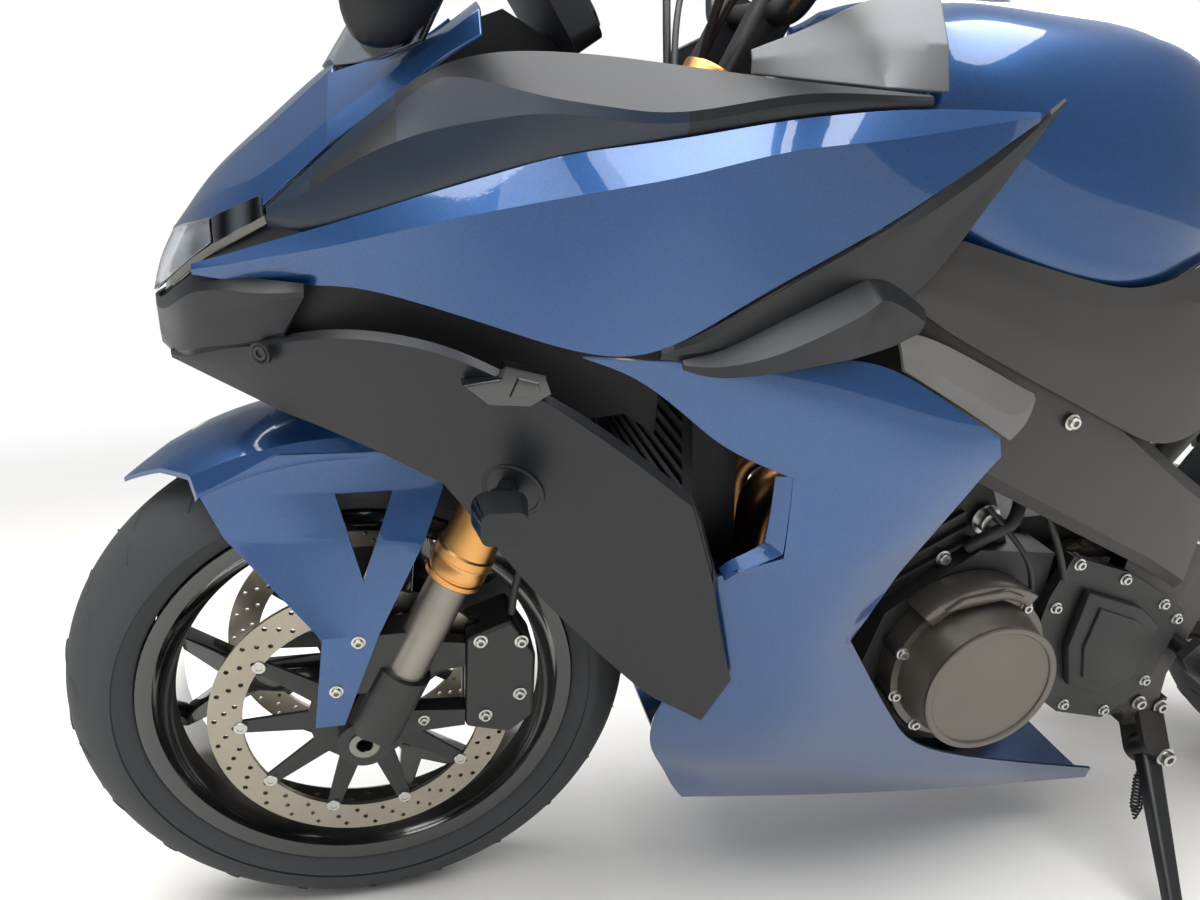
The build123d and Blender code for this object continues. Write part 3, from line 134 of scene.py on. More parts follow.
def workedMetal(name, dark, light, grainMm, stretch, roughLow, roughHigh, depth=0.12):
    # turned, ground or cast metal: fine lines or pits stretched along the way it was worked
    material, tree, shader = newFinish(name, Metallic=1.0)
    spot = addNode(tree, "ShaderNodeTexCoord").outputs["Object"]
    drawn = addNode(tree, "ShaderNodeMapping", {"Vector": spot, "Scale": stretch})
    lines = addNode(tree, "ShaderNodeTexNoise", {"Vector": drawn.outputs[0], "Scale": 1000 / grainMm,
                                                 "Detail": 3.0})
    cloud = addNode(tree, "ShaderNodeTexNoise", {"Vector": spot, "Scale": 1000 / patternMm["metalCloud"],
                                                 "Detail": 3.0})
    shade = addNode(tree, "ShaderNodeMix", {0: cloud.outputs["Fac"], 6: hexColour(dark),
                                            7: hexColour(light)}, data_type="RGBA")
    tree.links.new(shade.outputs[2], shader.inputs["Base Color"])
    rough = addNode(tree, "ShaderNodeMapRange", {"Value": lines.outputs["Fac"], "To Min": roughLow,
                                                 "To Max": roughHigh})
    tree.links.new(rough.outputs[0], shader.inputs["Roughness"])
    bump = addNode(tree, "ShaderNodeBump", {"Height": lines.outputs["Fac"], "Strength": depth,
                                            "Distance": 0.6 * mm})
    tree.links.new(bump.outputs[0], shader.inputs["Normal"])
    return material


def clearPolymer(name, tint, roughness):
    # cast or moulded clear plastic, with faint wiping marks in its gloss
    material, tree, shader = newFinish(name, Transmission_Weight=1.0, IOR=1.49)
    spot = addNode(tree, "ShaderNodeTexCoord").outputs["Object"]
    wipe = addNode(tree, "ShaderNodeTexNoise", {"Vector": spot, "Scale": 1000 / patternMm["wipe"],
                                                "Detail": 5.0})
    rough = addNode(tree, "ShaderNodeMapRange", {"Value": wipe.outputs["Fac"], "To Min": roughness,
                                                 "To Max": roughness + 0.04})
    tree.links.new(rough.outputs[0], shader.inputs["Roughness"])
    shader.inputs["Base Color"].default_value = hexColour(tint)
    return material


# metallic paint: a soft flake glow under a sharp clear gloss
blueLacquer = metallicLacquer("metallicBlueLacquer", "#123A68", "#1D4C82", 0.7, 0.32)
# moulded plastics: a dull sheen that leaves the folds to be read by their edges
satinBlackAbs = grainedPolymer("satinBlackAbs", "#131518", "#1A1C20", 0.8, 0.34, 0.42, 0.10,
                               Specular_IOR_Level=0.36)
# a dark blue-black painted as shade on the cockpit cover's faces that don't look up
paintedShadeBlueAbs = grainedPolymer("paintedShadeBlueAbs", "#101C29", "#152536", 0.8, 0.30, 0.38, 0.08)
greyTrimAbs = grainedPolymer("bronzeGreyAbs", "#62605D", "#6E6C68", 0.9, 0.32, 0.40, 0.08, Metallic=0.3)
tankCoverAbs = grainedPolymer("greyTankCoverAbs", "#5A5C5F", "#66686B", 0.9, 0.36, 0.44, 0.08,
                              Metallic=0.3)
# rubber: broad dusty light on the tread, a tighter line on the hoses
tyreRubber = grainedPolymer("tyreRubber", "#292B2D", "#36383B", 1.2, 0.66, 0.82, 0.25)
hoseRubber = grainedPolymer("hoseRubber", "#141415", "#1C1C1D", 1.0, 0.5, 0.62, 0.12)
# stoved gloss: crisp reflections along hoop and spokes
wheelLacquer = grainedPolymer("glossBlackWheelPaint", "#07080A", "#0B0C0E", 2.0, 0.18, 0.26, 0.02,
                              Coat_Weight=1.0, Coat_Roughness=0.06)
# painted steel and castings: an even satin, pitted where the casting is bare
blackPaint = grainedPolymer("satinBlackPaint", "#121314", "#1A1B1C", 1.2, 0.34, 0.46, 0.08)
framePaint = grainedPolymer("framePaint", "#2E2C2A", "#373533", 1.4, 0.36, 0.46, 0.12, Metallic=0.3)
engineBlack = grainedPolymer("blackCastAluminium", "#131314", "#1D1D1E", 1.6, 0.45, 0.6, 0.35)
engineBronze = grainedPolymer("bronzeEngineCover", "#5C5852", "#6B6760", 1.1, 0.3, 0.4, 0.12,
                              Metallic=0.7)
# bare metals: ground rings, gold and chromed tubes with lines along them, bright bolts
discSteel = workedMetal("groundDiscSteel", "#8E877B", "#A39C8E", 1.2, (1.0, 1.0, 1.0), 0.26, 0.42)
goldTube = workedMetal("goldAnodisedTube", "#BC8748", "#D3A066", 1.4, (1.0, 1.0, 0.1), 0.24, 0.36)
stanchionSteel = workedMetal("chromedStanchion", "#77736C", "#8F8B83", 1.2, (1.0, 1.0, 0.08), 0.3, 0.4,
                             0.04)
axleSteel = workedMetal("axleSteel", "#6E7268", "#8A8E82", 1.0, (1.0, 1.0, 1.0), 0.28, 0.42)
zincBolt = workedMetal("zincPlatedBolt", "#A9AAA6", "#C6C6C0", 0.9, (1.0, 1.0, 1.0), 0.24, 0.4)
chainSteel = workedMetal("oiledChainSteel", "#5A5347", "#78705F", 1.4, (1.0, 1.0, 1.0), 0.34, 0.55)
# dull core, pipes browned by heat and a brushed silencer
radiatorAlloy = workedMetal("blackRadiatorAlloy", "#202122", "#2D2E2F", 1.5, (1.0, 1.0, 1.0), 0.45, 0.6)
exhaustSteel = workedMetal("heatTintedSteel", "#7A5536", "#9A7450", 1.5, (1.0, 1.0, 0.2), 0.26, 0.42)
silencerSteel = workedMetal("brushedSilencer", "#3E3C39", "#56534E", 1.0, (0.1, 1.0, 1.0), 0.3, 0.45)
# seat and grip covers: a grain that takes the gloss away, coarser where one sits
seatVinyl = grainedPolymer("seatVinyl", "#19191A", "#222223", 1.8, 0.5, 0.62, 0.4)
seatTopVinyl = grainedPolymer("grippySeatVinyl", "#1E1F21", "#28292B", 3.2, 0.66, 0.8, 0.7)
gripRubber = grainedPolymer("gripRubber", "#161617", "#1E1E1F", 1.4, 0.6, 0.74, 0.2)
# accents: red switch, black display, mirror, bright tips, enamelled spring
switchRed = grainedPolymer("redSwitchPlastic", "#A01B1B", "#B22424", 1.0, 0.35, 0.45, 0.05)
displayGlass = grainedPolymer("displayGlass", "#050608", "#08090B", 3.0, 0.05, 0.09, 0.0,
                              Coat_Weight=1.0, Coat_Roughness=0.03)
mirrorGlass = workedMetal("silveredMirrorGlass", "#C4C8CB", "#CCD0D3", 6.0, (1.0, 1.0, 1.0), 0.03, 0.05,
                          0.0)
exhaustTip = workedMetal("polishedExhaustTip", "#8C8880", "#A29E96", 1.2, (1.0, 1.0, 1.0), 0.16, 0.28)
springPaint = grainedPolymer("enamelledSpring", "#23262A", "#2C3035", 1.2, 0.3, 0.4, 0.05)
# clear plastics: lens, smoked screen, and coloured lenses that glow at their edges
lampLens = clearPolymer("clearLampLens", "#F4F7F9", 0.02)
smokeScreen = clearPolymer("smokedScreen", "#AEB4BA", 0.02)
amberLens = clearPolymer("amberLens", "#F08A18", 0.06)
redLens = clearPolymer("redLens", "#C0141A", 0.06)
# metallised plastic behind the lens with upright ribs; the bright streaks between them are painted highlights
# in its colour
lampUnit = {"bodyInset": 9.0, "ribMm": 25.13}
ribbedReflector, ribTree, ribShader = newFinish("ribbedLampReflector", Metallic=0.85, Roughness=0.24)
ribPlace = addNode(ribTree, "ShaderNodeTexCoord").outputs["Object"]
waveTurns = 20 / (2 * pi)  # waves a metre at scale 1
ribs = addNode(ribTree, "ShaderNodeTexWave", {
    "Vector": ribPlace, "Scale": 1000 / lampUnit["ribMm"] / waveTurns}, bands_direction="X")
# painted highlights: the colour runs from near black to bright grey across each rib
ribPaintedHighlight = addNode(ribTree, "ShaderNodeMix", {0: ribs.outputs["Fac"], 6: hexColour("#15181C"),
                                             7: hexColour("#6E747B")}, data_type="RGBA")
ribTree.links.new(ribPaintedHighlight.outputs[2], ribShader.inputs["Base Color"])
ribBump = addNode(ribTree, "ShaderNodeBump", {"Height": ribs.outputs["Fac"], "Strength": 0.6,
                                              "Distance": mm})
ribTree.links.new(ribBump.outputs[0], ribShader.inputs["Normal"])

# every frame node has a finish, also where a finer piece stands in for it
finishOfNode = {
    "front_tyre": tyreRubber, "rear_tyre": tyreRubber, "front_rim": wheelLacquer,
    "rear_rim": wheelLacquer, "front_discs": discSteel, "rear_disc": discSteel,
    "rear_sprocket": chainSteel, "chain": chainSteel, "fork_tubes": goldTube,
    "fork_legs": blackPaint, "front_axle": axleSteel, "triple_clamps": blackPaint,
    "handlebar": blackPaint, "front_calipers": blackPaint, "front_fender": blueLacquer,
    "side_stand": blackPaint, "frame": framePaint, "engine_block": engineBlack,
    "engine_covers": engineBronze, "radiator": radiatorAlloy, "exhaust": exhaustSteel,
    "upper_cowl": blueLacquer, "cockpit_cover": satinBlackAbs, "side_cowl": blueLacquer,
    "side_garnish": satinBlackAbs, "garnish_trim": greyTrimAbs, "radiator_panel": satinBlackAbs,
    "lower_cowl": blueLacquer, "nose_panel": satinBlackAbs, "headlight": lampLens,
    "windscreen": smokeScreen, "instrument_panel": satinBlackAbs, "mirrors": satinBlackAbs,
    "indicators": amberLens, "fuel_tank": blueLacquer, "fuel_cap": zincBolt,
    "tank_covers": satinBlackAbs, "rider_seat": seatVinyl, "pillion_seat": seatVinyl,
    "tail_cowl": blueLacquer, "grab_rails": blackPaint, "tail_light": redLens,
    "rear_fender": satinBlackAbs, "footpegs": axleSteel, "swingarm": blackPaint,
    "shock": blackPaint, "rear_caliper": blackPaint, "hugger": satinBlackAbs,
}
for nodeName, node in nodes.items():
    node.data.materials.clear()
    node.data.materials.append(finishOfNode[nodeName])
print("materials made and given to the frame")

# Shared ways of making pieces, all in upright millimetres until a piece is finished

def place(form, name, body, finishes, hides=(), softDegrees=34, layers=()):
    # turns a mesh into a piece of the parked machine; layers are modifiers in order
    form.transform(parked)
    data = bpy.data.meshes.new(name)
    form.to_mesh(data)
    form.free()
    piece = bpy.data.objects.new(name, data)
    bpy.context.scene.collection.objects.link(piece)
    for finish in finishes:
        data.materials.append(finish)
    data.shade_smooth()
    if softDegrees:
        data.set_sharp_from_angle(angle=radians(softDegrees))
    for kind, settings in layers:
        layer = piece.modifiers.new(kind.lower(), kind)
        for key, value in settings.items():
            setattr(layer, key, value)
    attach(piece, body)
    if hides:
        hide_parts(*hides)
    return piece


def seatAt(point, direction, turn=0):
    # a frame at a point whose third axis looks along a direction
    aim = Vector(direction).to_track_quat("Z", "Y").to_matrix().to_4x4()
    return Matrix.Translation(point) @ aim @ Matrix.Rotation(radians(turn), 4, "Z")


def turned(form, profile, seat, steps=64, closed=False, finish=0):
    # turns (radius, along) points about the seat's third axis; a radius of 0.1 closes the middle
    corners = [form.verts.new((radius, 0, along)) for radius, along in profile]
    ends = corners[1:] + corners[:1] if closed else corners[1:]
    edges = [form.edges.new(pair) for pair in zip(corners, ends)]
    before = set(form.faces)
    bmesh.ops.spin(form, geom=corners + edges, cent=(0, 0, 0), axis=(0, 0, 1), angle=2 * pi,
                   steps=steps, use_merge=True)
    fresh = [face for face in form.faces if face not in before]
    for face in fresh:
        face.material_index = finish
    points = list({vert for face in fresh for vert in face.verts} | set(corners))
    bmesh.ops.transform(form, matrix=seat, verts=[vert for vert in points if vert.is_valid])


def slab(form, outline, near, far, rounding=1.0, finish=0, holes=()):
    # a flat outline in (x, z), thick from one half width to another, rims rounded
    before = set(form.faces)
    edges = []
    for loop in (outline, *holes):
        corners = [form.verts.new((x, near, z)) for x, z in loop]
        edges += [form.edges.new(pair) for pair in zip(corners, corners[1:] + corners[:1])]
    bmesh.ops.triangle_fill(form, edges=edges, use_beauty=True)
    flat = [face for face in form.faces if face not in before]
    grown = bmesh.ops.extrude_face_region(form, geom=flat, use_keep_orig=True)
    moved = [item for item in grown["geom"] if isinstance(item, bmesh.types.BMVert)]
    bmesh.ops.translate(form, verts=moved, vec=(0, far - near, 0))
    fresh = [face for face in form.faces if face not in before]
    bmesh.ops.recalc_face_normals(form, faces=fresh)
    for face in fresh:
        face.material_index = finish
    if rounding:
        rims = {edge for face in fresh for edge in face.edges
                if len(edge.link_faces) == 2 and edge.calc_face_angle() > 0.6
                and abs(edge.verts[0].co.y - edge.verts[1].co.y) < 0.01}
        bmesh.ops.bevel(form, geom=list(rims), offset=rounding, offset_type="OFFSET", segments=2,
                        profile=0.5, affect="EDGES", clamp_overlap=True, material=-1)


def roundLoop(x, z, radius, count):
    return [(x + radius * cos(2 * pi * k / count), z + radius * sin(2 * pi * k / count))
            for k in range(count)]


def bolt(form, point, direction, radius, finish=0, washer=True):
    # a flanged cap screw: washer, turned head and a hexagon socket, sized by its head
    seat = seatAt(point, direction)
    if washer:
        turned(form, [(0.1, 0), (radius * 1.35, 0), (radius * 1.35, 0.9), (radius, 1.3)], seat, 20,
               finish=finish)
    height = radius * 0.95
    turned(form, [(radius, 0.2), (radius, height - 0.7), (radius - 0.7, height),
                  (radius * 0.52, height)], seat, 20, finish=finish)
    turned(form, [(radius * 0.52, height), (radius * 0.52, height * 0.35), (0.1, height * 0.35)],
           seat, 6, finish=finish)


machineMiddle = (420, 0, 640)  # skins face away from here
frontUntil = 600  # pieces of a front and rear pair part at this station
onMiddle = 0.01  # a corner this near the middle plane lies on it
weldWithin = 0.02


def sheetOf(form, rows, spot, folds=(), fold=1.0, cornerDegrees=24):
    # bridges one chain of corners per row, creases the lines numbered in folds, mirrors it all
    hold = form.edges.layers.float.get("crease_edge") or form.edges.layers.float.new("crease_edge")
    before = set(form.faces)
    chains = []
    for station, points in rows:
        corners = [form.verts.new(spot(station, *point)) for point in points]
        chains.append((corners, [form.edges.new(pair) for pair in zip(corners, corners[1:])]))
    for (_, first), (_, second) in zip(chains, chains[1:]):
        bmesh.ops.bridge_loops(form, edges=first + second)
    for (first, _), (second, _) in zip(chains, chains[1:]):
        for line in folds:
            edge = form.edges.get((first[line], second[line]))
            if edge:
                edge[hold] = fold
    fresh = [face for face in form.faces if face not in before]
    point = form.verts.layers.float.get("crease_vert") or form.verts.layers.float.new("crease_vert")
    for vert in {vert for face in fresh for vert in face.verts}:
        rim = [edge for edge in vert.link_edges if edge.is_boundary]
        if len(rim) == 2 and abs(vert.co.y) > onMiddle:
            ways = [(edge.other_vert(vert).co - vert.co).normalized() for edge in rim]
            if ways[0].dot(ways[1]) > -cos(radians(cornerDegrees)):
                vert[point] = 1.0
    geom = list({vert for face in fresh for vert in face.verts})
    geom += list({edge for face in fresh for edge in face.edges}) + fresh
    bmesh.ops.mirror(form, geom=geom, axis="Y", merge_dist=onMiddle)
    bmesh.ops.remove_doubles(form, verts=[vert for vert in form.verts if abs(vert.co.y) < onMiddle],
                             dist=weldWithin)
    form.normal_update()
    for face in form.faces:
        outward = face.calc_center_median() - Vector(machineMiddle)
        if face not in before and face.normal.dot(outward) < 0:
            face.normal_flip()


def sideSpot(x, halfWidth, z, back=0):
    return (x + back, -halfWidth, z)


def levelSpot(z, x, halfWidth, drop=0):
    return (x, -halfWidth, z - drop)


def freeSpot(_, x, halfWidth, z):
    # for rows that are only numbered
    return (x, -halfWidth, z)


def behindLens(_, x, halfWidth, z):
    return (x + lampUnit["bodyInset"], -halfWidth, z)


def acrossSpot(_, halfWidth, x, z):
    return (x, -halfWidth, z)


def skinLayers(wall, rounding, smoothing=2):
    return [
        ("SUBSURF", {"levels": smoothing, "render_levels": smoothing}),
        ("SOLIDIFY", {"thickness": wall * mm, "offset": -1.0}),
        ("BEVEL", {"width": rounding * mm, "segments": 3, "limit_method": "ANGLE",
                   "angle_limit": radians(13), "profile": 0.5, "use_clamp_overlap": True}),
        ("WEIGHTED_NORMAL", {"weight": 60}),
    ]


def refined(nodeName, rounding, finishes, body, paint=None, foldDegrees=24, nudge=None):
    # a merged copy of a frame node with its hard edges rounded
    form = bmesh.new()
    form.from_mesh(nodes[nodeName].data)
    form.transform(parked.inverted())
    bmesh.ops.remove_doubles(form, verts=form.verts, dist=weldWithin)
    bmesh.ops.dissolve_limit(form, angle_limit=radians(0.6), verts=form.verts, edges=form.edges)
    if nudge:
        bmesh.ops.translate(form, verts=[vert for vert in form.verts if vert.co.x < frontUntil],
                            vec=nudge)
    if paint:
        for face in form.faces:
            face.material_index = paint(face.calc_center_median(), face.normal)
    layers = [("BEVEL", {"width": rounding * mm, "segments": 3, "limit_method": "ANGLE",
                         "angle_limit": radians(foldDegrees), "profile": 0.5,
                         "use_clamp_overlap": True})] if rounding else []
    return place(form, nodeName + "Finished", body, finishes, hides=(nodeName,),
                 layers=layers)


def tube(name, body, finish, radius, spots, smoothness=4, capped=True):
    # a round hose, wire or welt along points of the parked machine
    line = bpy.data.curves.new(name, "CURVE")
    line.dimensions = "3D"
    line.bevel_depth = radius * mm
    line.bevel_resolution = smoothness
    line.use_fill_caps = capped
    run = line.splines.new("NURBS")
    run.points.add(len(spots) - 1)
    for point, spot in zip(run.points, spots):
        point.co = (*spot, 1)
    run.order_u = 3
    run.use_endpoint_u = True
    piece = bpy.data.objects.new(name, line)
    bpy.context.scene.collection.objects.link(piece)
    line.materials.append(finish)
    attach(piece, body)


def coatedSkins(skins):
    # every rigid cover of a table: its sheets, painted, with a wall and rounded rims
    for pieceName, piece in skins.items():
        form = bmesh.new()
        for spot, folds, rows in piece["sheets"]:
            sheetOf(form, rows, spot, folds)
        # faces that don't look up, ahead of the given station, take the second finish: painted shade
        if "paintedShadeFinish" in piece:
            for face in form.faces:
                if face.normal.z < 0.5 and face.calc_center_median().x < piece["lowUntil"]:
                    face.material_index = 1
        finishes = [piece[key] for key in ("finish", "paintedShadeFinish") if key in piece]
        place(form, pieceName, "chassis", finishes, hides=piece.get("hides", ()),
              softDegrees=0,
              layers=skinLayers(piece["wall"], piece["rounding"], piece.get("smoothing", 2)))


def boltsAs(name, body, bolts):
    # one piece of bolts, each with its point, the way it faces and the radius of its head
    form = bmesh.new()
    for point, way, radius in bolts:
        bolt(form, point, way, radius)
    place(form, name, body, [zincBolt])


def onBothSides(spots):
    # bolts at (x, half width, z, radius) that face outward on the left and the right
    return [((x, side * y, z), (0, side, 0), radius) for x, y, z, radius in spots for side in (-1, 1)]


def onCircle(middle, radius, angle):
    return (middle[0] + radius * cos(radians(angle)), middle[1] + radius * sin(radians(angle)))


print("ways of making pieces ready")

# Wheels: tyres with their tread, cast rims, drilled discs

frontAxle = (0, 0, stance["axleHeight"])
rearLow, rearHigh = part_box("rear_tyre")
rearAxle = tuple(parked.inverted() @ ((rearLow + rearHigh) / 2))
tyres = {
    # radius and half width over the tread, radius of its arc, half width of the rim, groove count
    "front_tyre": {"axle": frontAxle, "radius": 300.0, "half": 60.0, "crown": 62.0,
                   "rimHalf": 44.5, "grooves": 22, "body": "front_wheel"},
    "rear_tyre": {"axle": rearAxle, "radius": 311.0, "half": 95.0, "crown": 113.0,
                  "rimHalf": 76.0, "grooves": 22, "body": "rear_wheel"},
}
tread = {
    # columns in one groove's pitch, depth, twist at the shoulder; from, to and bridge are shares
    # of the half width
    "columns": 10, "deep": 1.5, "skew": 0.2, "skewPower": 1.6, "from": 0.12, "to": 0.78,
    "bridge": (0.5, 0.56), "land": 2.6, "wall": 0.5, "arcSteps": 12, "arcShare": 0.97,
}
for tyreName, tyre in tyres.items():
    form = bmesh.new()
    across = seatAt(tyre["axle"], (0, -1, 0))
    half, crown = tyre["half"], tyre["crown"]
    treadLine = []
    for k in range(tread["arcSteps"] + 1):
        out = half * tread["arcShare"] * k / tread["arcSteps"]
        treadLine.append((tyre["radius"] - crown + sqrt(crown ** 2 - out ** 2), out))
    edgeRadius = treadLine[-1][0]
    wallLine = [(edgeRadius - 5, half * 0.995), (edgeRadius - 12, half * 0.99), (250, half * 0.955),
                (246, half * 0.965), (243, half * 0.93), (234, tyre["rimHalf"] + 6),
                (229.2, tyre["rimHalf"] + 1.5), (228.6, tyre["rimHalf"] - 1)]
    halfLine = treadLine + wallLine
    whole = [(r, -out) for r, out in reversed(halfLine[1:])] + halfLine
    steps = tyre["grooves"] * tread["columns"]
    turned(form, whole, Matrix.Identity(4), steps)
    for vert in form.verts:
        share = min(abs(vert.co.z) / half, 1.0)
        turn = tread["skew"] * share ** tread["skewPower"]
        vert.co.xy = Matrix.Rotation(turn, 2) @ vert.co.xy
    cutFaces = []
    for face in form.faces:
        middle = face.calc_center_median()
        share = abs(middle.z) / half
        if not tread["from"] < share < tread["to"] or middle.xy.length < edgeRadius:
            continue
        angle = atan2(middle.y, middle.x) - tread["skew"] * share ** tread["skewPower"]
        column = int((angle / (2 * pi) * steps) % tread["columns"])
        cutColumn = 0 if middle.z > 0 else tread["columns"] // 2
        if column == cutColumn and not tread["bridge"][0] < share < tread["bridge"][1]:
            cutFaces.append(face)
    bmesh.ops.inset_region(form, faces=cutFaces, thickness=tread["land"], depth=0.0,
                           use_even_offset=True)
    bmesh.ops.inset_region(form, faces=cutFaces, thickness=tread["wall"], depth=-tread["deep"],
                           use_even_offset=True)
    bmesh.ops.transform(form, matrix=across, verts=form.verts)
    bmesh.ops.recalc_face_normals(form, faces=form.faces)
    hub = Vector(tyre["axle"])
    outmost = max(form.faces, key=lambda face: (face.calc_center_median() - hub).length)
    if outmost.normal.dot(outmost.calc_center_median() - hub) < 0:
        bmesh.ops.reverse_faces(form, faces=form.faces)
    place(form, tyreName + "Treaded", tyre["body"], [tyreRubber], hides=(tyreName,),
          softDegrees=28)

rims = {
    # three forked spokes in a drop-centre hoop, as on the frame's own rim
    "front_rim": {"axle": frontAxle, "half": 44.5, "hubHalf": 70.7, "bore": 12.8,
                  "phase": 175.5, "body": "front_wheel"},
    "rear_rim": {"axle": rearAxle, "half": 76.0, "hubHalf": 88.7, "bore": 14.3,
                 "phase": 55.5, "body": "rear_wheel"},
}
spoke = {"stem": 112.0, "reach": 195.0, "spread": 54.0, "half": 13.0, "rounding": 3.0}
for rimName, wheelRim in rims.items():
    form = bmesh.new()
    across = seatAt(wheelRim["axle"], (0, -1, 0))
    half = wheelRim["half"]
    hoop = [(222, half + 5), (227, half + 5), (228, half + 4), (228, half + 1), (226.5, half),
            (216, half - 0.5), (215, half - 11), (199, half * 0.5)]
    inside = [(193, half * 0.5 + 2), (206, half - 10), (209.5, half - 2), (212, half + 2)]
    ring = hoop + [(r, -out) for r, out in reversed(hoop)]
    ring += [(r, -out) for r, out in reversed(inside)] + inside
    turned(form, ring, across, 120, closed=True)
    hub = [(wheelRim["bore"], -wheelRim["hubHalf"]), (26, -wheelRim["hubHalf"]),
           (33, -wheelRim["hubHalf"] + 4), (34, -30), (38, -13), (38, 13), (34, 30),
           (33, wheelRim["hubHalf"] - 4), (26, wheelRim["hubHalf"]),
           (wheelRim["bore"], wheelRim["hubHalf"])]
    turned(form, hub, across, 48, closed=True)
    for arm in range(3):
        aim = radians(wheelRim["phase"] + 120 * arm)
        outline = [(14, -22), (spoke["stem"], -14), (spoke["reach"] - 4, -spoke["spread"] - 7),
                   (spoke["reach"] - 8, -spoke["spread"] + 11), (spoke["stem"] + 27, 0),
                   (spoke["reach"] - 8, spoke["spread"] - 11), (spoke["reach"] - 4, spoke["spread"] + 7),
                   (spoke["stem"], 14), (14, 22)]
        slab(form, [(wheelRim["axle"][0] + along * cos(aim) - aside * sin(aim),
                     wheelRim["axle"][2] + along * sin(aim) + aside * cos(aim))
                    for along, aside in outline], -spoke["half"], spoke["half"], spoke["rounding"])
    bmesh.ops.recalc_face_normals(form, faces=form.faces)
    place(form, rimName + "Cast", wheelRim["body"], [wheelLacquer], hides=(rimName,))

discs = {
    # half width of the outer face, thickness, outer radius, width of the band, rows of holes
    "front_discs": {"axle": frontAxle, "face": 76.0, "thick": 5.0, "radius": 155.0, "band": 33.0,
                    "bobbins": 10, "sides": (-1, 1), "body": "front_wheel", "holeRows": 30},
    "rear_disc": {"axle": rearAxle, "face": 94.0, "thick": 5.0, "radius": 120.0,
                  "band": 30.0, "bobbins": 5, "sides": (1,), "body": "rear_wheel", "holeRows": 24},
}
for discName, disc in discs.items():
    form = bmesh.new()
    axleX, _, axleZ = disc["axle"]
    outer, inner = disc["radius"], disc["radius"] - disc["band"]
    for side in disc["sides"]:
        holes = [roundLoop(axleX, axleZ, inner, 72)]
        for row in range(disc["holeRows"]):
            # three holes on a slant sweep the whole pad
            for step, reach in enumerate((0.24, 0.52, 0.8)):
                angle = 2 * pi * (row + step * 0.33) / disc["holeRows"]
                middle = inner + disc["band"] * reach
                holes.append(roundLoop(axleX + middle * cos(angle), axleZ + middle * sin(angle),
                                       2.6, 10))
        near, far = side * (disc["face"] - disc["thick"]), side * disc["face"]
        slab(form, roundLoop(axleX, axleZ, outer, 120), near, far, rounding=0, holes=holes)
        # carrier: a thin spider that holds the band on bobbins
        spider = []
        for arm in range(disc["bobbins"]):
            middleAngle = 2 * pi * arm / disc["bobbins"]
            for swing, reach in ((-0.20, 58), (-0.075, inner - 14), (-0.06, inner - 1),
                                 (0.06, inner - 1), (0.075, inner - 14), (0.20, 58)):
                angle = middleAngle + swing
                spider.append((axleX + reach * cos(angle), axleZ + reach * sin(angle)))
        slab(form, spider, near, near + side * (disc["thick"] - 0.6), rounding=0.5, finish=1,
             holes=[roundLoop(axleX, axleZ, 30, 32)])
        for arm in range(disc["bobbins"]):
            angle = 2 * pi * arm / disc["bobbins"]
            spot = (axleX + (inner + 1.5) * cos(angle), far + side * 0.1,
                    axleZ + (inner + 1.5) * sin(angle))
            seat = seatAt(spot, (0, side, 0))
            turned(form, [(0.1, 1.2), (3.0, 1.2), (3.0, 0.4), (3.4, 0.4), (3.4, 1.6), (6.4, 1.6),
                          (7.0, 1.0), (7.0, -disc["thick"])], seat, 18, finish=2)
        for arm in range(5):
            angle = 2 * pi * (arm + 0.3) / 5
            spot = (axleX + 42 * cos(angle), far - side * 0.5, axleZ + 42 * sin(angle))
            bolt(form, spot, (0, side, 0), 5.2, finish=2)
    place(form, discName + "Drilled", disc["body"], [discSteel, blackPaint, zincBolt],
          hides=(discName,))
print("wheels made")

# Fork: gold tubes with a ringed lip, grey stanchions, black axle brackets

fork = {"rakeAt": (32.63, 0.0, 284.79), "legX": -31.5, "spacing": 107.0, "lipLow": 202.0,
        "bracketTop": 90.0, "stanchionReach": 22.5}
forkUp = Vector((sin(radians(stance["rake"])), 0, cos(radians(stance["rake"]))))
forkBack = Vector((cos(radians(stance["rake"])), 0, -sin(radians(stance["rake"]))))


def onFork(back, across, up):
    # a point measured in the fork's own frame
    return Vector(fork["rakeAt"]) + forkBack * back + Vector((0, across, 0)) + forkUp * up


form = bmesh.new()
for side in (-1, 1):
    seat = seatAt(onFork(fork["legX"], side * fork["spacing"], 0), forkUp)
    low = fork["lipLow"]
    lip = [(22.0, low), (27.6, low), (29.0, low + 1.4), (29.0, low + 6), (27.4, low + 7.2),
           (27.4, low + 9.4), (29.0, low + 10.6), (29.0, low + 19), (28.2, low + 20.6),
           (28.2, low + 24), (29.4, low + 25.2), (29.4, low + 33), (27.6, low + 35),
           (27.0, low + 40), (27.0, 712), (26.0, 714.5), (20.0, 715), (19.0, 717), (8.5, 717),
           (8.0, 714), (0.1, 714)]
    turned(form, lip, seat, 48)
bmesh.ops.recalc_face_normals(form, faces=form.faces)
place(form, "forkTubesAnodised", "steering", [goldTube], hides=("fork_tubes",))


def legPaint(middle, normal):
    along = (middle - Vector(fork["rakeAt"])).dot(forkUp)
    back = (middle - Vector(fork["rakeAt"])).dot(forkBack) - fork["legX"]
    aside = abs(abs(middle.y) - fork["spacing"])
    onTube = back ** 2 + aside ** 2 < fork["stanchionReach"] ** 2
    return 1 if along > fork["bracketTop"] + 1 and onTube else 0


refined("fork_legs", 2.2, [blackPaint, stanchionSteel], "steering", paint=legPaint)
refined("triple_clamps", 1.6, [blackPaint], "steering")
refined("front_calipers", 5.0, [blackPaint], "steering")
refined("front_fender", 1.4, [blueLacquer], "steering", foldDegrees=30)
refined("front_axle", 1.0, [axleSteel], "steering")

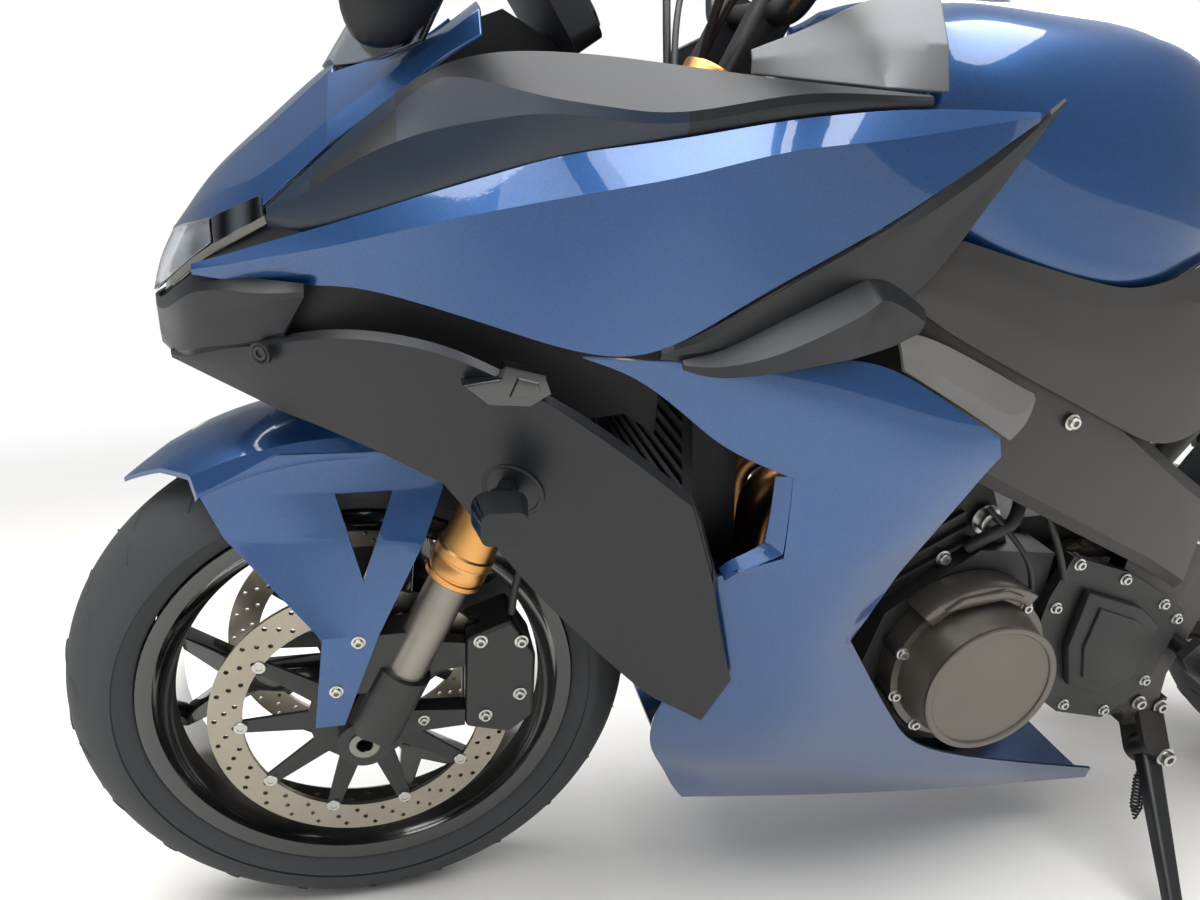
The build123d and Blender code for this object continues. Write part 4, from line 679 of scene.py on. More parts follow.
# on each side two bolts of the fender, four of the caliper and two that hold it to the fork
boltsAs("forkBolts", "steering", onBothSides([
    (-1, 122.2, 425, 5.0), (-24, 122.2, 370, 5.0),
    (118, 102, 400, 5.4), (124, 102, 306, 5.4), (160, 102, 330, 5.4), (160, 102, 396, 5.4),
    (60, 100, 398, 4.4), (60, 100, 306, 4.4)]))

caliperHose = {
    # from the caliper up to the clamps, the same on both sides
    "radius": 4.2,
    "route": [(150, 96, 428), (150, 104, 470), (176, 104, 540), (196, 88, 610), (236, 62, 690),
              (262, 40, 760), (270, 30, 800)],
}
for side, sideName in ((-1, "Left"), (1, "Right")):
    tube("brakeHose" + sideName, "steering", hoseRubber, caliperHose["radius"],
         [onBike(x, side * y, z) for x, y, z in caliperHose["route"]], smoothness=3, capped=False)
print("fork and brakes made")

# Fairing skins: each row is a station with its corners from the top edge down the outer face

bodywork = {
    "upperCowl": {
        "hides": ("upper_cowl",), "finish": blueLacquer, "slot": "blue_plastic", "wall": 3.4,
        "rounding": 1.4,
        "sheets": [
            (sideSpot, (1, 2), [
                (-142, [(0, 793), (6, 794), (11, 794), (16, 793)]),
                (-125, [(0, 818), (20, 815), (38, 810), (52, 803)]),
                (-107, [(0, 842), (30, 838), (60, 827), (84, 811)]),
                (-82, [(0, 867), (45, 860), (88, 838), (109, 818)]),
                (-56, [(0, 891), (60, 880), (114, 850), (126, 829)]),
                (-28, [(0, 917), (64, 906), (120, 873), (134, 855)]),
                (0, [(0, 940), (68, 930), (126, 897), (141, 881)]),
            ]),
            (sideSpot, (1, 2), [
                (-4, [(70, 926), (121, 898), (129, 893), (140.7, 878)]),
                (24, [(86, 936), (118, 921), (132, 914), (149, 898)]),
                (52, [(108, 946), (124, 942), (136, 936), (155.7, 919)]),
                (76, [(120, 958), (132, 957), (150, 952), (163.7, 941)]),
                (106, [(132, 982), (142, 980), (154, 976), (168.7, 959)]),
            ]),
        ],
    },
    "cockpitCover": {
        "hides": ("cockpit_cover",), "finish": satinBlackAbs, "slot": "satin_black", "wall": 3.2,
        "rounding": 1.5,
        # faces that look down or aside, ahead of this station, take a dark blue-black that is painted shade
        "paintedShadeFinish": paintedShadeBlueAbs, "lowUntil": 238,
        "sheets": [
            (sideSpot, (1, 2), [
                (-51, [(131, 830), (133, 828), (134, 825), (134, 822), (122, 804)]),
                (-17, [(140, 862), (145, 854), (152, 846), (157, 820), (145, 802)]),
                (17, [(150, 893), (157, 880), (172, 872), (178, 834), (166, 816)]),
                (46, [(160, 917), (166, 908), (182, 886), (191, 846), (179, 828)]),
                (75, [(168, 938), (173, 933), (192, 897), (202, 860), (190, 842)]),
                (110, [(178, 948), (196, 929), (209, 905), (213, 873), (201, 855)]),
                (144, [(187, 951), (221, 921), (224, 913), (223, 884), (211, 866)]),
                (190, [(195, 951), (231, 918), (234, 910), (231, 892), (219, 874)]),
                (236, [(203, 948), (240, 914), (241, 907), (239, 901), (227, 883)]),
                (321, [(206, 943), (232, 936), (233, 929), (233, 920), (221, 902)]),
                (385, [(207, 941), (221, 937), (223, 932), (223, 926), (211, 908)]),
                (445, [(207, 939), (211, 938), (213, 935), (213, 932), (201, 914)]),
            ]),
        ],
    },
    "sideCowl": {
        "hides": ("side_cowl",), "finish": blueLacquer, "slot": "blue_plastic", "wall": 3.4,
        "rounding": 1.8,
        "sheets": [
            (sideSpot, (1,), [
                (-111, [(118, 784), (120, 780), (119, 776)]),
                (-84, [(125, 793), (136, 787), (131, 774)]),
                (-51, [(140, 806), (153, 797), (142, 775)]),
                (-17, [(159, 819), (171, 806), (160, 777)]),
                (17, [(179, 833), (188, 817), (176, 781)]),
                (78, [(201, 857), (215, 837), (213, 771)]),
                (117, [(213, 871), (229, 848), (234, 763)]),
                (156, [(223, 885), (240, 858), (249, 753)]),
                (198, [(233, 893), (252, 868), (259, 747)]),
                (236, [(239, 900), (260, 877), (263, 755)]),
                (280, [(237, 909), (258, 889), (263, 783)]),
                (322, [(233, 917), (250, 898), (258, 806)]),
                (368, [(228, 923), (243, 903), (251, 828)]),
                (413, [(222, 928), (235, 908), (243, 850)]),
                (480, [(214, 931), (222, 919), (227, 888)]),
                (545, [(207, 932), (210, 929), (209, 925)]),
            ]),
        ],
    },
    "sideGarnish": {
        "hides": ("side_garnish",), "finish": satinBlackAbs, "slot": "satin_black", "wall": 3.2,
        "rounding": 1.6,
        "sheets": [
            # blade that follows the cowl up to its rear tip
            (sideSpot, (1, 2), [
                (229, [(262, 755), (264, 753), (264, 751), (263, 748)]),
                (268, [(262, 771), (263, 763), (262, 752), (258, 744)]),
                (322, [(260, 801), (258, 789), (254, 768), (250, 752)]),
                (355, [(255, 818), (253, 806), (249, 782), (246, 764)]),
                (388, [(249, 834), (248, 822), (244, 800), (240, 776)]),
                (414, [(243, 848), (242, 838), (238, 812), (234, 786)]),
                (440, [(236, 862), (237, 852), (232, 824), (226, 780)]),
                (472, [(224, 879), (226, 868), (221, 842), (219, 800)]),
                (515, [(213, 904), (215, 894), (213, 882), (210, 861)]),
                (571, [(199, 944), (201, 942), (201, 939), (199, 937)]),
            ]),
            # scoop below it, with a level upper face and a sharp brow
            (sideSpot, (1,), [
                (246, [(263, 748), (267, 745), (266, 741)]),
                (268, [(259, 751), (274, 744), (268, 734)]),
                (297, [(255, 763), (278, 750), (268, 735)]),
                (322, [(252, 775), (279, 758), (266, 737)]),
                (355, [(249, 788), (276, 772), (262, 741)]),
                (388, [(244, 801), (272, 786), (256, 744)]),
                (399, [(241, 805), (267, 796), (251, 745)]),
                (420, [(237, 803), (250, 789), (245, 748)]),
                (444, [(229, 791), (236, 779), (233, 750)]),
                (468, [(222, 776), (226, 766), (221, 754)]),
            ]),
        ],
    },
    "bronzeTrim": {
        "hides": ("garnish_trim",), "finish": greyTrimAbs, "slot": "bronze", "wall": 3.0,
        "rounding": 1.6,
        "sheets": [
            (sideSpot, (1,), [
                (443.3, [(227, 758), (238, 746), (247, 732)]),
                (472, [(222, 755), (244, 730), (247, 716)]),
                (520, [(219, 735), (240, 706), (243, 690)]),
                (569, [(216, 712), (234, 680), (238, 662)]),
                (590, [(214, 702), (226, 686), (230, 674)]),
                (603, [(213, 697), (217, 693), (217, 689)]),
            ]),
        ],
    },
    "radiatorShroud": {
        "hides": ("radiator_panel",), "finish": satinBlackAbs, "slot": "satin_black", "wall": 3.4,
        "rounding": 2.4,
        "sheets": [
            (sideSpot, (1,), [
                (-146, [(60, 699), (61, 697), (62, 695), (60, 691)]),
                (-98, [(110, 717), (111, 713), (109, 699), (103, 681)]),
                (-50, [(149, 735), (155, 730), (152, 705), (146, 671)]),
                (-6, [(179, 750), (187, 745), (180, 715), (158, 655)]),
                (35, [(202, 753), (211, 748), (200, 712), (170, 637)]),
                (76, [(222, 749), (231, 744), (215, 700), (181, 617)]),
                (110, [(232, 735), (240, 730), (223, 675), (185, 573)]),
                (144, [(239, 719), (247, 714), (229, 640), (190, 523)]),
                (194, [(246, 689), (254, 681), (236, 590), (192, 466)]),
                (232, [(248, 660), (255, 652), (237, 556), (193, 425)]),
                (271, [(249, 628), (254, 620), (238, 520), (195, 384)]),
                (302, [(240, 545), (246, 537), (232, 466), (200, 370)]),
                (324, [(237, 462), (236, 454), (225, 420), (205, 357)]),
                (338, [(227, 426), (229, 424), (229, 421), (227, 418)]),
            ]),
        ],
    },
    "lowerCowl": {
        "hides": ("lower_cowl",), "finish": blueLacquer, "slot": "blue_plastic", "wall": 3.4,
        "rounding": 1.8,
        "sheets": [
            (levelSpot, (), [
                (742, [(176, 238), (220, 247), (270, 250), (335, 249), (402, 244)]),
                (730, [(216, 243), (270, 252), (330, 254), (390, 252), (444, 246)]),
                (702, [(254, 247), (315, 256), (378, 259), (438, 258), (492, 251)]),
                (673, [(287, 248), (352, 257), (420, 262), (482, 261), (543, 256)]),
                (655, [(322, 250), (378, 259), (438, 264), (494, 263), (548, 257)]),
                (641, [(357, 252), (404, 260), (450, 264), (494, 263), (537, 257)]),
                (602, [(359, 253), (400, 260), (440, 264), (478, 261), (515, 254)]),
                (566, [(359, 254), (396, 260), (430, 262), (463, 259), (495, 250)]),
                (552, [(322, 247), (368, 256), (412, 260), (450, 257), (488, 248)]),
                (538, [(303, 232), (350, 251), (400, 258), (440, 255), (480, 246)]),
                (498, [(312, 226), (356, 246), (400, 252), (434, 249), (468, 240)]),
                (458, [(319, 220), (364, 239), (402, 244), (428, 241), (454, 233)]),
                (407, [(297, 200), (368, 228), (414, 234), (452, 230), (489, 221)]),
                (356, [(283, 184), (368, 217), (424, 224), (474, 219), (524, 208)]),
                (320, [(284, 171), (364, 203), (428, 213), (488, 208), (551, 199)]),
                (285, [(291, 160), (362, 189), (432, 200), (502, 197), (577, 190)]),
                (248, [(312, 146), (384, 174, 1), (470, 183, 3), (560, 180, 6), (645, 174, 11)]),
                (212, [(328, 140), (480, 160, 7), (640, 160, 22), (780, 148, 47), (919, 130, 74)]),
                (184, [(346, 131), (500, 136, 18), (650, 136, 35), (790, 131, 51), (921, 125, 66)]),
            ]),
            (sideSpot, (), [
                (346, [(131, 184), (100, 181), (60, 180), (0, 179)]),
                (500, [(136, 166), (104, 162), (60, 160), (0, 159)]),
                (650, [(136, 149), (104, 145), (60, 143), (0, 142)]),
                (790, [(131, 133), (100, 130), (60, 128), (0, 127)]),
                (921, [(125, 118), (96, 116), (58, 115), (0, 114)]),
            ]),
        ],
    },
    "noseBeak": {
        "hides": ("nose_panel",), "finish": satinBlackAbs, "slot": "satin_black", "wall": 3.0,
        "rounding": 1.3,
        "sheets": [
            (sideSpot, (1, 2, 3), [
                (-169, [(0, 733), (0, 726), (0, 711), (0, 703), (0, 690)]),
                (-158, [(26, 735), (30, 727), (25, 711), (25, 699), (14, 688)]),
                (-146, [(54, 744), (60, 733), (56, 713), (58, 697), (44, 686)]),
                (-130, [(88, 760), (95, 748), (90, 724), (88, 704), (72, 692)]),
                (-113, [(110, 774), (118, 763), (112, 738), (106, 714), (90, 702)]),
                (-90, [(124, 778), (136, 768), (129, 746), (124, 720), (108, 708)]),
                (-66, [(138, 778), (152, 769), (147, 756), (140, 728), (126, 714)]),
                (-48, [(150, 779), (161, 771), (157, 765), (149, 736, -4), (137, 721, -4)]),
                (-25, [(165, 780), (168, 774), (166, 770), (160, 741, -17), (147, 726, -19)]),
            ]),
        ],
    },
}
coatedSkins(bodywork)
print("fairing skins made")

# Inside of the fairing: black liner behind the side openings, the lamp unit and its trim

lensRows = [
    # from the middle line back to the lens's rear end
    (0, [(-144, 0, 790), (-159, 0, 763), (-169, 0, 733)]),
    (1, [(-140, 24, 795), (-154, 28, 770), (-157, 38, 746)]),
    (2, [(-128, 56, 804), (-139, 62, 782), (-138, 70, 762)]),
    (3, [(-112, 82, 812), (-117, 90, 797), (-116, 94, 783)]),
    (4, [(-97, 100, 817), (-97, 105, 808), (-96, 109, 799)]),
]
innerSkins = {
    # black liner behind the side openings
    "fairingLiner": {
        "finish": hoseRubber, "slot": "satin_black", "wall": 2.4, "rounding": 1.0, "smoothing": 1,
        "sheets": [(sideSpot, (), [
            (-62, [(123, 798), (129, 764), (131, 730), (124, 700)]),
            (-40, [(134, 806), (139, 770), (141, 735), (132, 690)]),
            (-6, [(146, 812), (149, 775), (150, 730), (146, 676)]),
            (40, [(150, 818), (151, 776), (151, 726), (150, 668)]),
            (100, [(152, 820), (152, 776), (152, 722), (150, 660)]),
            (170, [(154, 816), (154, 770), (154, 716), (152, 654)]),
            (236, [(156, 806), (156, 772), (156, 726), (154, 664)]),
            (266, [(157, 800), (157, 766), (157, 714), (154, 644)]),
        ])],
    },
    # black wedge between lamp, cockpit cover and side cowl
    "lampWedge": {
        "finish": satinBlackAbs, "slot": "satin_black", "wall": 2.4, "rounding": 0.8, "smoothing": 1,
        "sheets": [(freeSpot, (), [
            (0, [(-51, 128, 819), (-70, 119, 807), (-92, 106, 794), (-114, 90, 778)]),
            (1, [(-18, 152, 814), (-50, 139, 803), (-84, 123, 790), (-109, 113, 779)]),
        ])],
    },
    # pale strip under the lens
    "lampStrip": {
        "finish": greyTrimAbs, "slot": "bronze", "wall": 2.4, "rounding": 0.8, "smoothing": 1,
        "sheets": [(freeSpot, (), [
            (0, [(-53, 133, 824), (-72, 124, 812), (-94, 111, 799), (-115, 95, 784), (-137, 73, 763)]),
            (1, [(-51, 133, 818), (-70, 124, 806), (-92, 111, 793), (-114, 95, 777), (-136, 73, 756)]),
        ])],
    },
    # edge turned inward round the lower cowl's vent
    "ventReturn": {
        "finish": blueLacquer, "slot": "blue_plastic", "wall": 2.4, "rounding": 0.8, "smoothing": 1,
        "sheets": [(freeSpot, (), [
            (0, [(357.5, 251, 643), (346, 240, 638)]), (1, [(359, 252, 604), (347, 240, 603)]),
            (2, [(358.5, 253, 570), (345, 241, 576)]), (3, [(340, 251, 560), (331, 239, 566)]),
            (4, [(322, 247, 551), (316, 236, 558)]), (5, [(312, 244, 541), (309, 234, 549)]),
        ])],
    },
    "lampPane": {
        "hides": ("headlight",), "finish": lampLens, "slot": "lamp_glass", "wall": 2.6,
        "rounding": 0.8,
        "sheets": [(freeSpot, (), lensRows)],
    },
    "lampReflector": {
        "finish": ribbedReflector, "slot": "lamp_glass", "wall": 2.6, "rounding": 0.8,
        "sheets": [(behindLens, (), lensRows)],
    },
    # ribbed side lamp above the strip
    "sideLamps": {
        "finish": ribbedReflector, "slot": "lamp_glass", "wall": 2.6, "rounding": 0.8,
        "sheets": [(freeSpot, (), [
            (0, [(-96, 101, 817), (-94, 110, 799)]),
            (1, [(-76, 112, 828), (-74, 123, 811)]),
            (2, [(-56, 125, 838), (-54, 132, 823)]),
        ])],
    },
}
coatedSkins(innerSkins)

# hooked tab where the shroud meets the side cowl, flush bolt at its nose
form = bmesh.new()
slab(form, [(86, 726), (113, 730), (117, 740), (147, 732), (152, 718), (136, 708), (105, 710)],
     -230, -250, rounding=2.5)
slab(form, [(124, 727), (126, 732), (141, 728), (143, 721), (135, 716), (120, 717)],
     -249, -253, rounding=2.0)
place(form, "shroudTab", "chassis", [wheelLacquer])
form = bmesh.new()
for side in (-1, 1):
    seat = seatAt((-62, side * 153.0, 722), (-0.55, side * 0.8, -0.1))
    turned(form, [(9.6, -3), (9.6, 0.6), (8.6, 1.2), (7.6, 0.6), (6.8, 0.2), (6.6, -0.5), (5.8, 0.9),
                  (3.4, 0.9), (3.0, -0.6), (0.1, -0.6)], seat, 32)
place(form, "shroudBolt", "chassis", [blackPaint])
print("liner and lamp made")

# Tank, its covers, tail and screen

tankCrown = {
    "shoulder": 2, "shoulderFold": 0.35, "endFold": 0.7,
    # stations from front to rear, each from the underside's middle round to the top's middle
    "rows": [
        (474, [(0, 830), (136, 824), (150, 842), (172, 930), (142, 1000), (72, 1013), (0, 1016)]),
        (540, [(0, 802), (182, 796), (197, 820), (191, 930), (152, 1004), (78, 1026), (0, 1030)]),
        (640, [(0, 774), (186, 762), (205, 792), (190, 925), (154, 996), (78, 1024), (0, 1030)]),
        (740, [(0, 778), (180, 764), (199, 796), (184, 916), (146, 996), (74, 1024), (0, 1030)]),
        (820, [(0, 822), (140, 808), (166, 822), (156, 902), (120, 970), (60, 996), (0, 1002)]),
        (884, [(0, 834), (104, 828), (120, 838), (112, 882), (88, 920), (46, 936), (0, 940)]),
    ],
}
form = bmesh.new()
sheetOf(form, tankCrown["rows"], sideSpot, (tankCrown["shoulder"],), tankCrown["shoulderFold"])
bmesh.ops.holes_fill(form, edges=form.edges, sides=24)
bmesh.ops.recalc_face_normals(form, faces=form.faces)
hold = form.edges.layers.float["crease_edge"]
for edge in form.edges:
    if len(edge.link_faces) == 2 and max(len(face.verts) for face in edge.link_faces) > 4:
        edge[hold] = tankCrown["endFold"]
place(form, "tankShell", "chassis", [blueLacquer], hides=("fuel_tank",), softDegrees=0,
      layers=[("SUBSURF", {"levels": 3, "render_levels": 3})])

upperSkins = {
    "tankSideCover": {
        "hides": ("tank_covers",), "finish": framePaint, "slot": "grey_plastic", "wall": 3.4,
        "rounding": 1.8,
        "sheets": [(sideSpot, (1, 2), [
            (441, [(214, 793), (215, 792), (215, 790), (215, 789)]),
            (470, [(210, 812), (212, 803), (215, 786), (214, 772)]),
            (502, [(206, 830), (211, 812), (215, 782), (214, 753)]),
            (550, [(207, 818), (212, 798), (215, 764), (213, 731)]),
            (600, [(208, 806), (212, 784), (215, 746), (212, 708)]),
            (642, [(208, 797), (211, 774), (213, 730), (210, 690)]),
            (684, [(208, 790), (210, 768), (211, 720), (207, 671)]),
            (725, [(204, 797), (208, 772), (209, 716), (204, 653)]),
            (765, [(198, 812), (205, 780), (206, 712), (201, 636)]),
            (800, [(183, 822), (198, 786), (202, 714), (197, 634)]),
            (833, [(166, 828), (188, 790), (196, 722), (192, 645)]),
            (900, [(150, 834), (166, 800), (174, 742), (172, 690)]),
        ])],
    },
    "tankFrontCover": {
        "finish": tankCoverAbs, "slot": "grey_plastic", "wall": 3.4, "rounding": 1.6,
        "sheets": [(sideSpot, (1,), [
            (331, [(114, 965), (119, 957), (120, 946)]),
            (351, [(121, 974), (130, 961), (137, 945)]),
            (371, [(128, 983), (141, 966), (153, 944)]),
            (394, [(133, 996), (154, 971), (172, 943)]),
            (417, [(138, 1008), (166, 976), (189, 942)]),
            (445, [(143, 1012), (171, 977), (189, 942)]),
            (473.7, [(148, 1014), (174, 977), (187, 942)]),
        ])],
    },
    "tailSkin": {
        "hides": ("tail_cowl",), "finish": blueLacquer, "slot": "blue_plastic", "wall": 3.4,
        "rounding": 1.8,
        "sheets": [
            (sideSpot, (1,), [
                (905, [(152, 780), (160, 762), (150, 716)]),
                (975, [(155, 776), (167, 762), (156, 719)]),
                (1050, [(158, 774), (172, 762), (160, 722)]),
                (1125, [(153, 806), (170, 790), (156, 738)]),
                (1200, [(146, 844), (165, 822), (150, 762)]),
                (1300, [(130, 857), (151, 843), (137, 784)]),
                (1400, [(112, 870), (136, 864), (123, 806)]),
                (1500, [(100, 890), (122, 878), (108, 824)]),
                (1600, [(90, 913), (107, 894), (93, 842)]),
                (1700, [(74, 917), (88, 902), (78, 862)]),
                (1780, [(58, 921), (67, 909), (60, 882)]),
            ]),
            (sideSpot, (1,), [
                (1492, [(0, 921), (60, 916), (86, 900)]),
                (1545, [(0, 926), (56, 922), (83, 907)]),
                (1600, [(0, 930), (50, 926), (78, 914)]),
                (1695, [(0, 932), (43, 928), (66, 918)]),
                (1790, [(0, 933), (34, 930), (52, 922)]),
            ]),
        ],
    },
    "screenPane": {
        "hides": ("windscreen",), "finish": smokeScreen, "slot": "smoke_glass", "wall": 3.6,
        "rounding": 1.2,
        "sheets": [(acrossSpot, (), [
            # (half width, x, z) from the middle line outward
            (0, [(0, -14, 929.7), (40, -6, 930.5), (80, 18, 934), (108, 40, 940), (128, 66, 951)]),
            (1, [(0, 30, 998), (38, 37, 999), (78, 58, 1004), (106, 78, 1010), (126, 98, 1018)]),
            (2, [(0, 78, 1066), (36, 84, 1067), (74, 102, 1072), (104, 121, 1077), (122, 144, 1084)]),
            (3, [(0, 124, 1133), (30, 128, 1134), (62, 142, 1138), (88, 158, 1142), (106, 178, 1148)]),
            (4, [(0, 168, 1197), (22, 170, 1197.6), (46, 180, 1200), (66, 192, 1203), (84, 209, 1208)]),
        ])],
    },
}
coatedSkins(upperSkins)
print("tank, tail and screen made")

# Frame, engine, drive and the smaller castings, from the frame's own nodes

for nodeName, rounding, finish, slotName, body in (
        ("frame", 3.5, framePaint, "frame_black", "chassis"),
        ("swingarm", 4.0, blackPaint, "fork_black", "chassis"),
        ("engine_block", 2.0, engineBlack, "engine_black", "chassis"),
        ("footpegs", 2.0, blackPaint, "axle_steel", "chassis"),
        ("hugger", 1.0, satinBlackAbs, "satin_black", "chassis"),
        ("rear_fender", 2.0, satinBlackAbs, "satin_black", "chassis"),
        ("instrument_panel", 4.0, satinBlackAbs, "satin_black", "chassis"),
        ("rear_caliper", 3.0, blackPaint, "caliper_grey", "chassis"),
        ("fuel_cap", 2.0, zincBolt, "gold_cap", "filler"),
        ("side_stand", 1.6, blackPaint, "frame_black", "side_stand"),
        ("tail_light", 3.0, redLens, "red_glass", "chassis")):
    refined(nodeName, rounding, [finish], body)


sprocketCover = {"from": 722.5, "halfWidth": 171}


def coverPaint(middle, normal):
    # the sprocket cover on the left is black
    return 1 if middle.x > sprocketCover["from"] and -sprocketCover["halfWidth"] < middle.y < 0 else 0


refined("engine_covers", 2.2, [engineBronze, engineBlack], "chassis", paint=coverPaint)


def indicatorPaint(middle, normal):
    front = middle.x < frontUntil
    return 1 if front and normal.x < -0.75 else (0 if front else 2)


refined("indicators", 4.5, [satinBlackAbs, smokeScreen, amberLens], "chassis",
        paint=indicatorPaint, nudge=Vector((15, 0, -13)))
form = bmesh.new()
for side in (-1, 1):
    turned(form, [(27, -1.5), (27, 0.9), (25.4, 1.9), (23.4, 1.4), (22.6, 0.2), (22.6, -1.5)],
           seatAt((130, side * 214.5, 624), (-0.464, side * 0.83, -0.307)), 40)
place(form, "indicatorRing", "chassis", [satinBlackAbs])

engine = {
    "crank": (638, 372), "statorFace": 222.0, "clutch": (690, 350), "clutchBolts": 92.0,
    # raised ring, shallow dish and a plain middle
    "statorRing": [(76.5, -1.0), (76.5, 2.2), (75.0, 3.4), (70.0, 3.4), (68.6, 2.2), (68.6, 0.9),
                   (64.0, 0.5), (0.1, 0.5)],
    # flange bolts round the stator cover, angles in degrees
    "flangeBolts": (12, 52, 88, 128, 164, 200, 236, 278, 318, 346), "flangeRadius": 88.0,
    "flangeFace": 182.0, "coverFace": 169.6,
    # big flanged bolts and caps on the cylinder side: x, half width, z, radius
    "capBolts": [(495, 143, 488, 11.5), (527, 143, 461, 9.0), (647, 143, 530, 12.5),
                 (560, 143, 596, 7.0), (606, 143, 486, 6.5), (470, 143, 566, 6.5)],
    "coverBolts": [(736, 344), (744, 428), (758, 482), (826, 458), (892, 420), (918, 398),
                   (904, 312), (858, 274), (796, 290)],
    # pickup cover above the stator: from and to half width, then (radius, angle) from the crank
    "pickup": (156.5, 194, [(106, 58 + 6.5 * k) for k in range(13)]
               + [(90, 136 - 6.5 * k) for k in range(13)]),
    "pickupCap": (193, 199, [(100, 70), (104, 84), (104, 112), (100, 124), (93, 112), (93, 84)]),
}
form = bmesh.new()
crankX, crankZ = engine["crank"]
turned(form, engine["statorRing"], seatAt((crankX, -engine["statorFace"], crankZ), (0, -1, 0)), 96)
for key, rounding in (("pickup", 3.0), ("pickupCap", 2.0)):
    near, far, corners = engine[key]
    slab(form, [onCircle(engine["crank"], *corner) for corner in corners], -near, -far,
         rounding=rounding)
place(form, "statorRing", "chassis", [engineBronze])

flangeSpots = [onCircle(engine["crank"], engine["flangeRadius"], angle)
               for angle in engine["flangeBolts"]]
clutchSpots = [onCircle(engine["clutch"], engine["clutchBolts"], angle) for angle in range(20, 380, 40)]
boltsAs("engineBolts", "chassis",
        [((x, -engine["flangeFace"], z), (0, -1, 0), 5.4) for x, z in flangeSpots]
        + [((x, -engine["coverFace"], z), (0, -1, 0), 5.2) for x, z in engine["coverBolts"]]
        + onBothSides(engine["capBolts"])
        + [((x, 196.0, z), (0, 1, 0), 4.6) for x, z in clutchSpots])

form = bmesh.new()
# bosses that carry the bolts, and two raised panels on the sprocket cover
for x, z in flangeSpots:
    turned(form, [(9.0, -24), (8.2, -1.0), (7.4, -0.2), (0.1, -0.2)],
           seatAt((x, -engine["flangeFace"], z), (0, -1, 0)), 20)
for x, z in engine["coverBolts"]:
    turned(form, [(9.0, -12), (8.0, -0.9), (7.2, -0.2), (0.1, -0.2)],
           seatAt((x, -engine["coverFace"], z), (0, -1, 0)), 20)
slab(form, [(772, 452), (852, 424), (884, 398), (872, 330), (828, 306), (784, 326), (766, 380)],
     -169, -181, rounding=4.0)
slab(form, [(790, 432), (846, 411), (868, 392), (859, 342), (826, 324), (796, 338), (784, 380)],
     -180.5, -185, rounding=3.0)
place(form, "coverBosses", "chassis", [engineBlack])

# two bolts on each spar, then the swingarm's pivot cap among its three bolts
boltsAs("frameBolts", "chassis", onBothSides([
    (664, 202, 663, 6.0), (884, 151, 506, 10.0), (936, 151, 496, 8.0),
    (872, 151, 402, 15.0), (905, 151, 300, 8.0), (575, 202, 742, 7.0)]))

cableRuns = {
    # loom, breather and clutch lines beside the barrels: radius, then points
    "breatherHose": (7.0, [(676, -150, 560), (668, -166, 536), (640, -160, 520), (628, -148, 500)]),
    "clutchCable": (3.6, [(736, -176, 470), (716, -182, 506), (694, -174, 548), (684, -150, 590)]),
    "sensorLead": (3.0, [(700, -176, 452), (686, -184, 488), (664, -176, 520), (640, -150, 548)]),
    "coolantHose": (12.0, [(452, -120, 610), (430, -140, 560), (404, -150, 500), (396, -140, 450)]),
    "upperHose": (10.0, [(356, -150, 640), (392, -160, 622), (424, -150, 604), (452, -130, 606)]),
    "standLead": (2.6, [(910, -156, 250), (884, -164, 276), (852, -160, 268), (820, -150, 262)]),
}
for runName, (radius, points) in cableRuns.items():
    tube(runName, "chassis", hoseRubber, radius, [onBike(*point) for point in points])

# side stand: return spring along its leg, the pivot bolt and two bracket bolts
standSpring = {"top": (930, -184, 192), "foot": (928, -202, 120), "turns": 16, "radius": 6.4,
               "wire": 1.3}
top, foot = Vector(standSpring["top"]), Vector(standSpring["foot"])
facing = seatAt((0, 0, 0), foot - top)
steps = standSpring["turns"] * 10
coil = []
for k in range(steps + 1):
    turn = 2 * pi * standSpring["turns"] * k / steps
    # the wire closes in at both ends, where it hooks on
    reach = standSpring["radius"] * min(1.0, 4 * k / steps, 4 * (steps - k) / steps + 0.05)
    coil.append(onBike(*(top.lerp(foot, k / steps)
                         + facing @ Vector((reach * cos(turn), reach * sin(turn), 0)))))
tube("standSpring", "side_stand", hoseRubber, standSpring["wire"], coil, smoothness=3)
boltsAs("standBolts", "chassis", [
    ((946, -196, 213), (0, -1, 0), 9.0), ((930, -152, 262), (0, -1, 0), 7.0),
    ((966, -152, 252), (0, -1, 0), 7.0)])
print("engine and frame dressed")

# Cockpit: mirrors, bar with grips and switches, its hoses, dials and the fuel cap's ring

def softLoft(form, rings, sides=12, finish=0):
    # bridges rounded-rectangle rings: middle, direction, turn, width, height, corner power
    before = set(form.faces)
    loops = []
    for middle, direction, turn, wide, tall, power in rings:
        made = bmesh.ops.create_circle(form, segments=sides, radius=1.0)
        for vert in made["verts"]:
            x, y = vert.co.x, vert.co.y
            length = (abs(x) ** power + abs(y) ** power) ** (1 / power)
            vert.co = Vector((x / length * wide / 2, y / length * tall / 2, 0))
        bmesh.ops.transform(form, matrix=seatAt(middle, direction, turn), verts=made["verts"])
        loops.append({edge for vert in made["verts"] for edge in vert.link_edges})
    for first, second in zip(loops, loops[1:]):
        bmesh.ops.bridge_loops(form, edges=list(first | second))
    bmesh.ops.holes_fill(form, edges=list(loops[0] | loops[-1]), sides=sides)
    fresh = [face for face in form.faces if face not in before]
    bmesh.ops.recalc_face_normals(form, faces=fresh)
    for face in fresh:
        face.material_index = finish


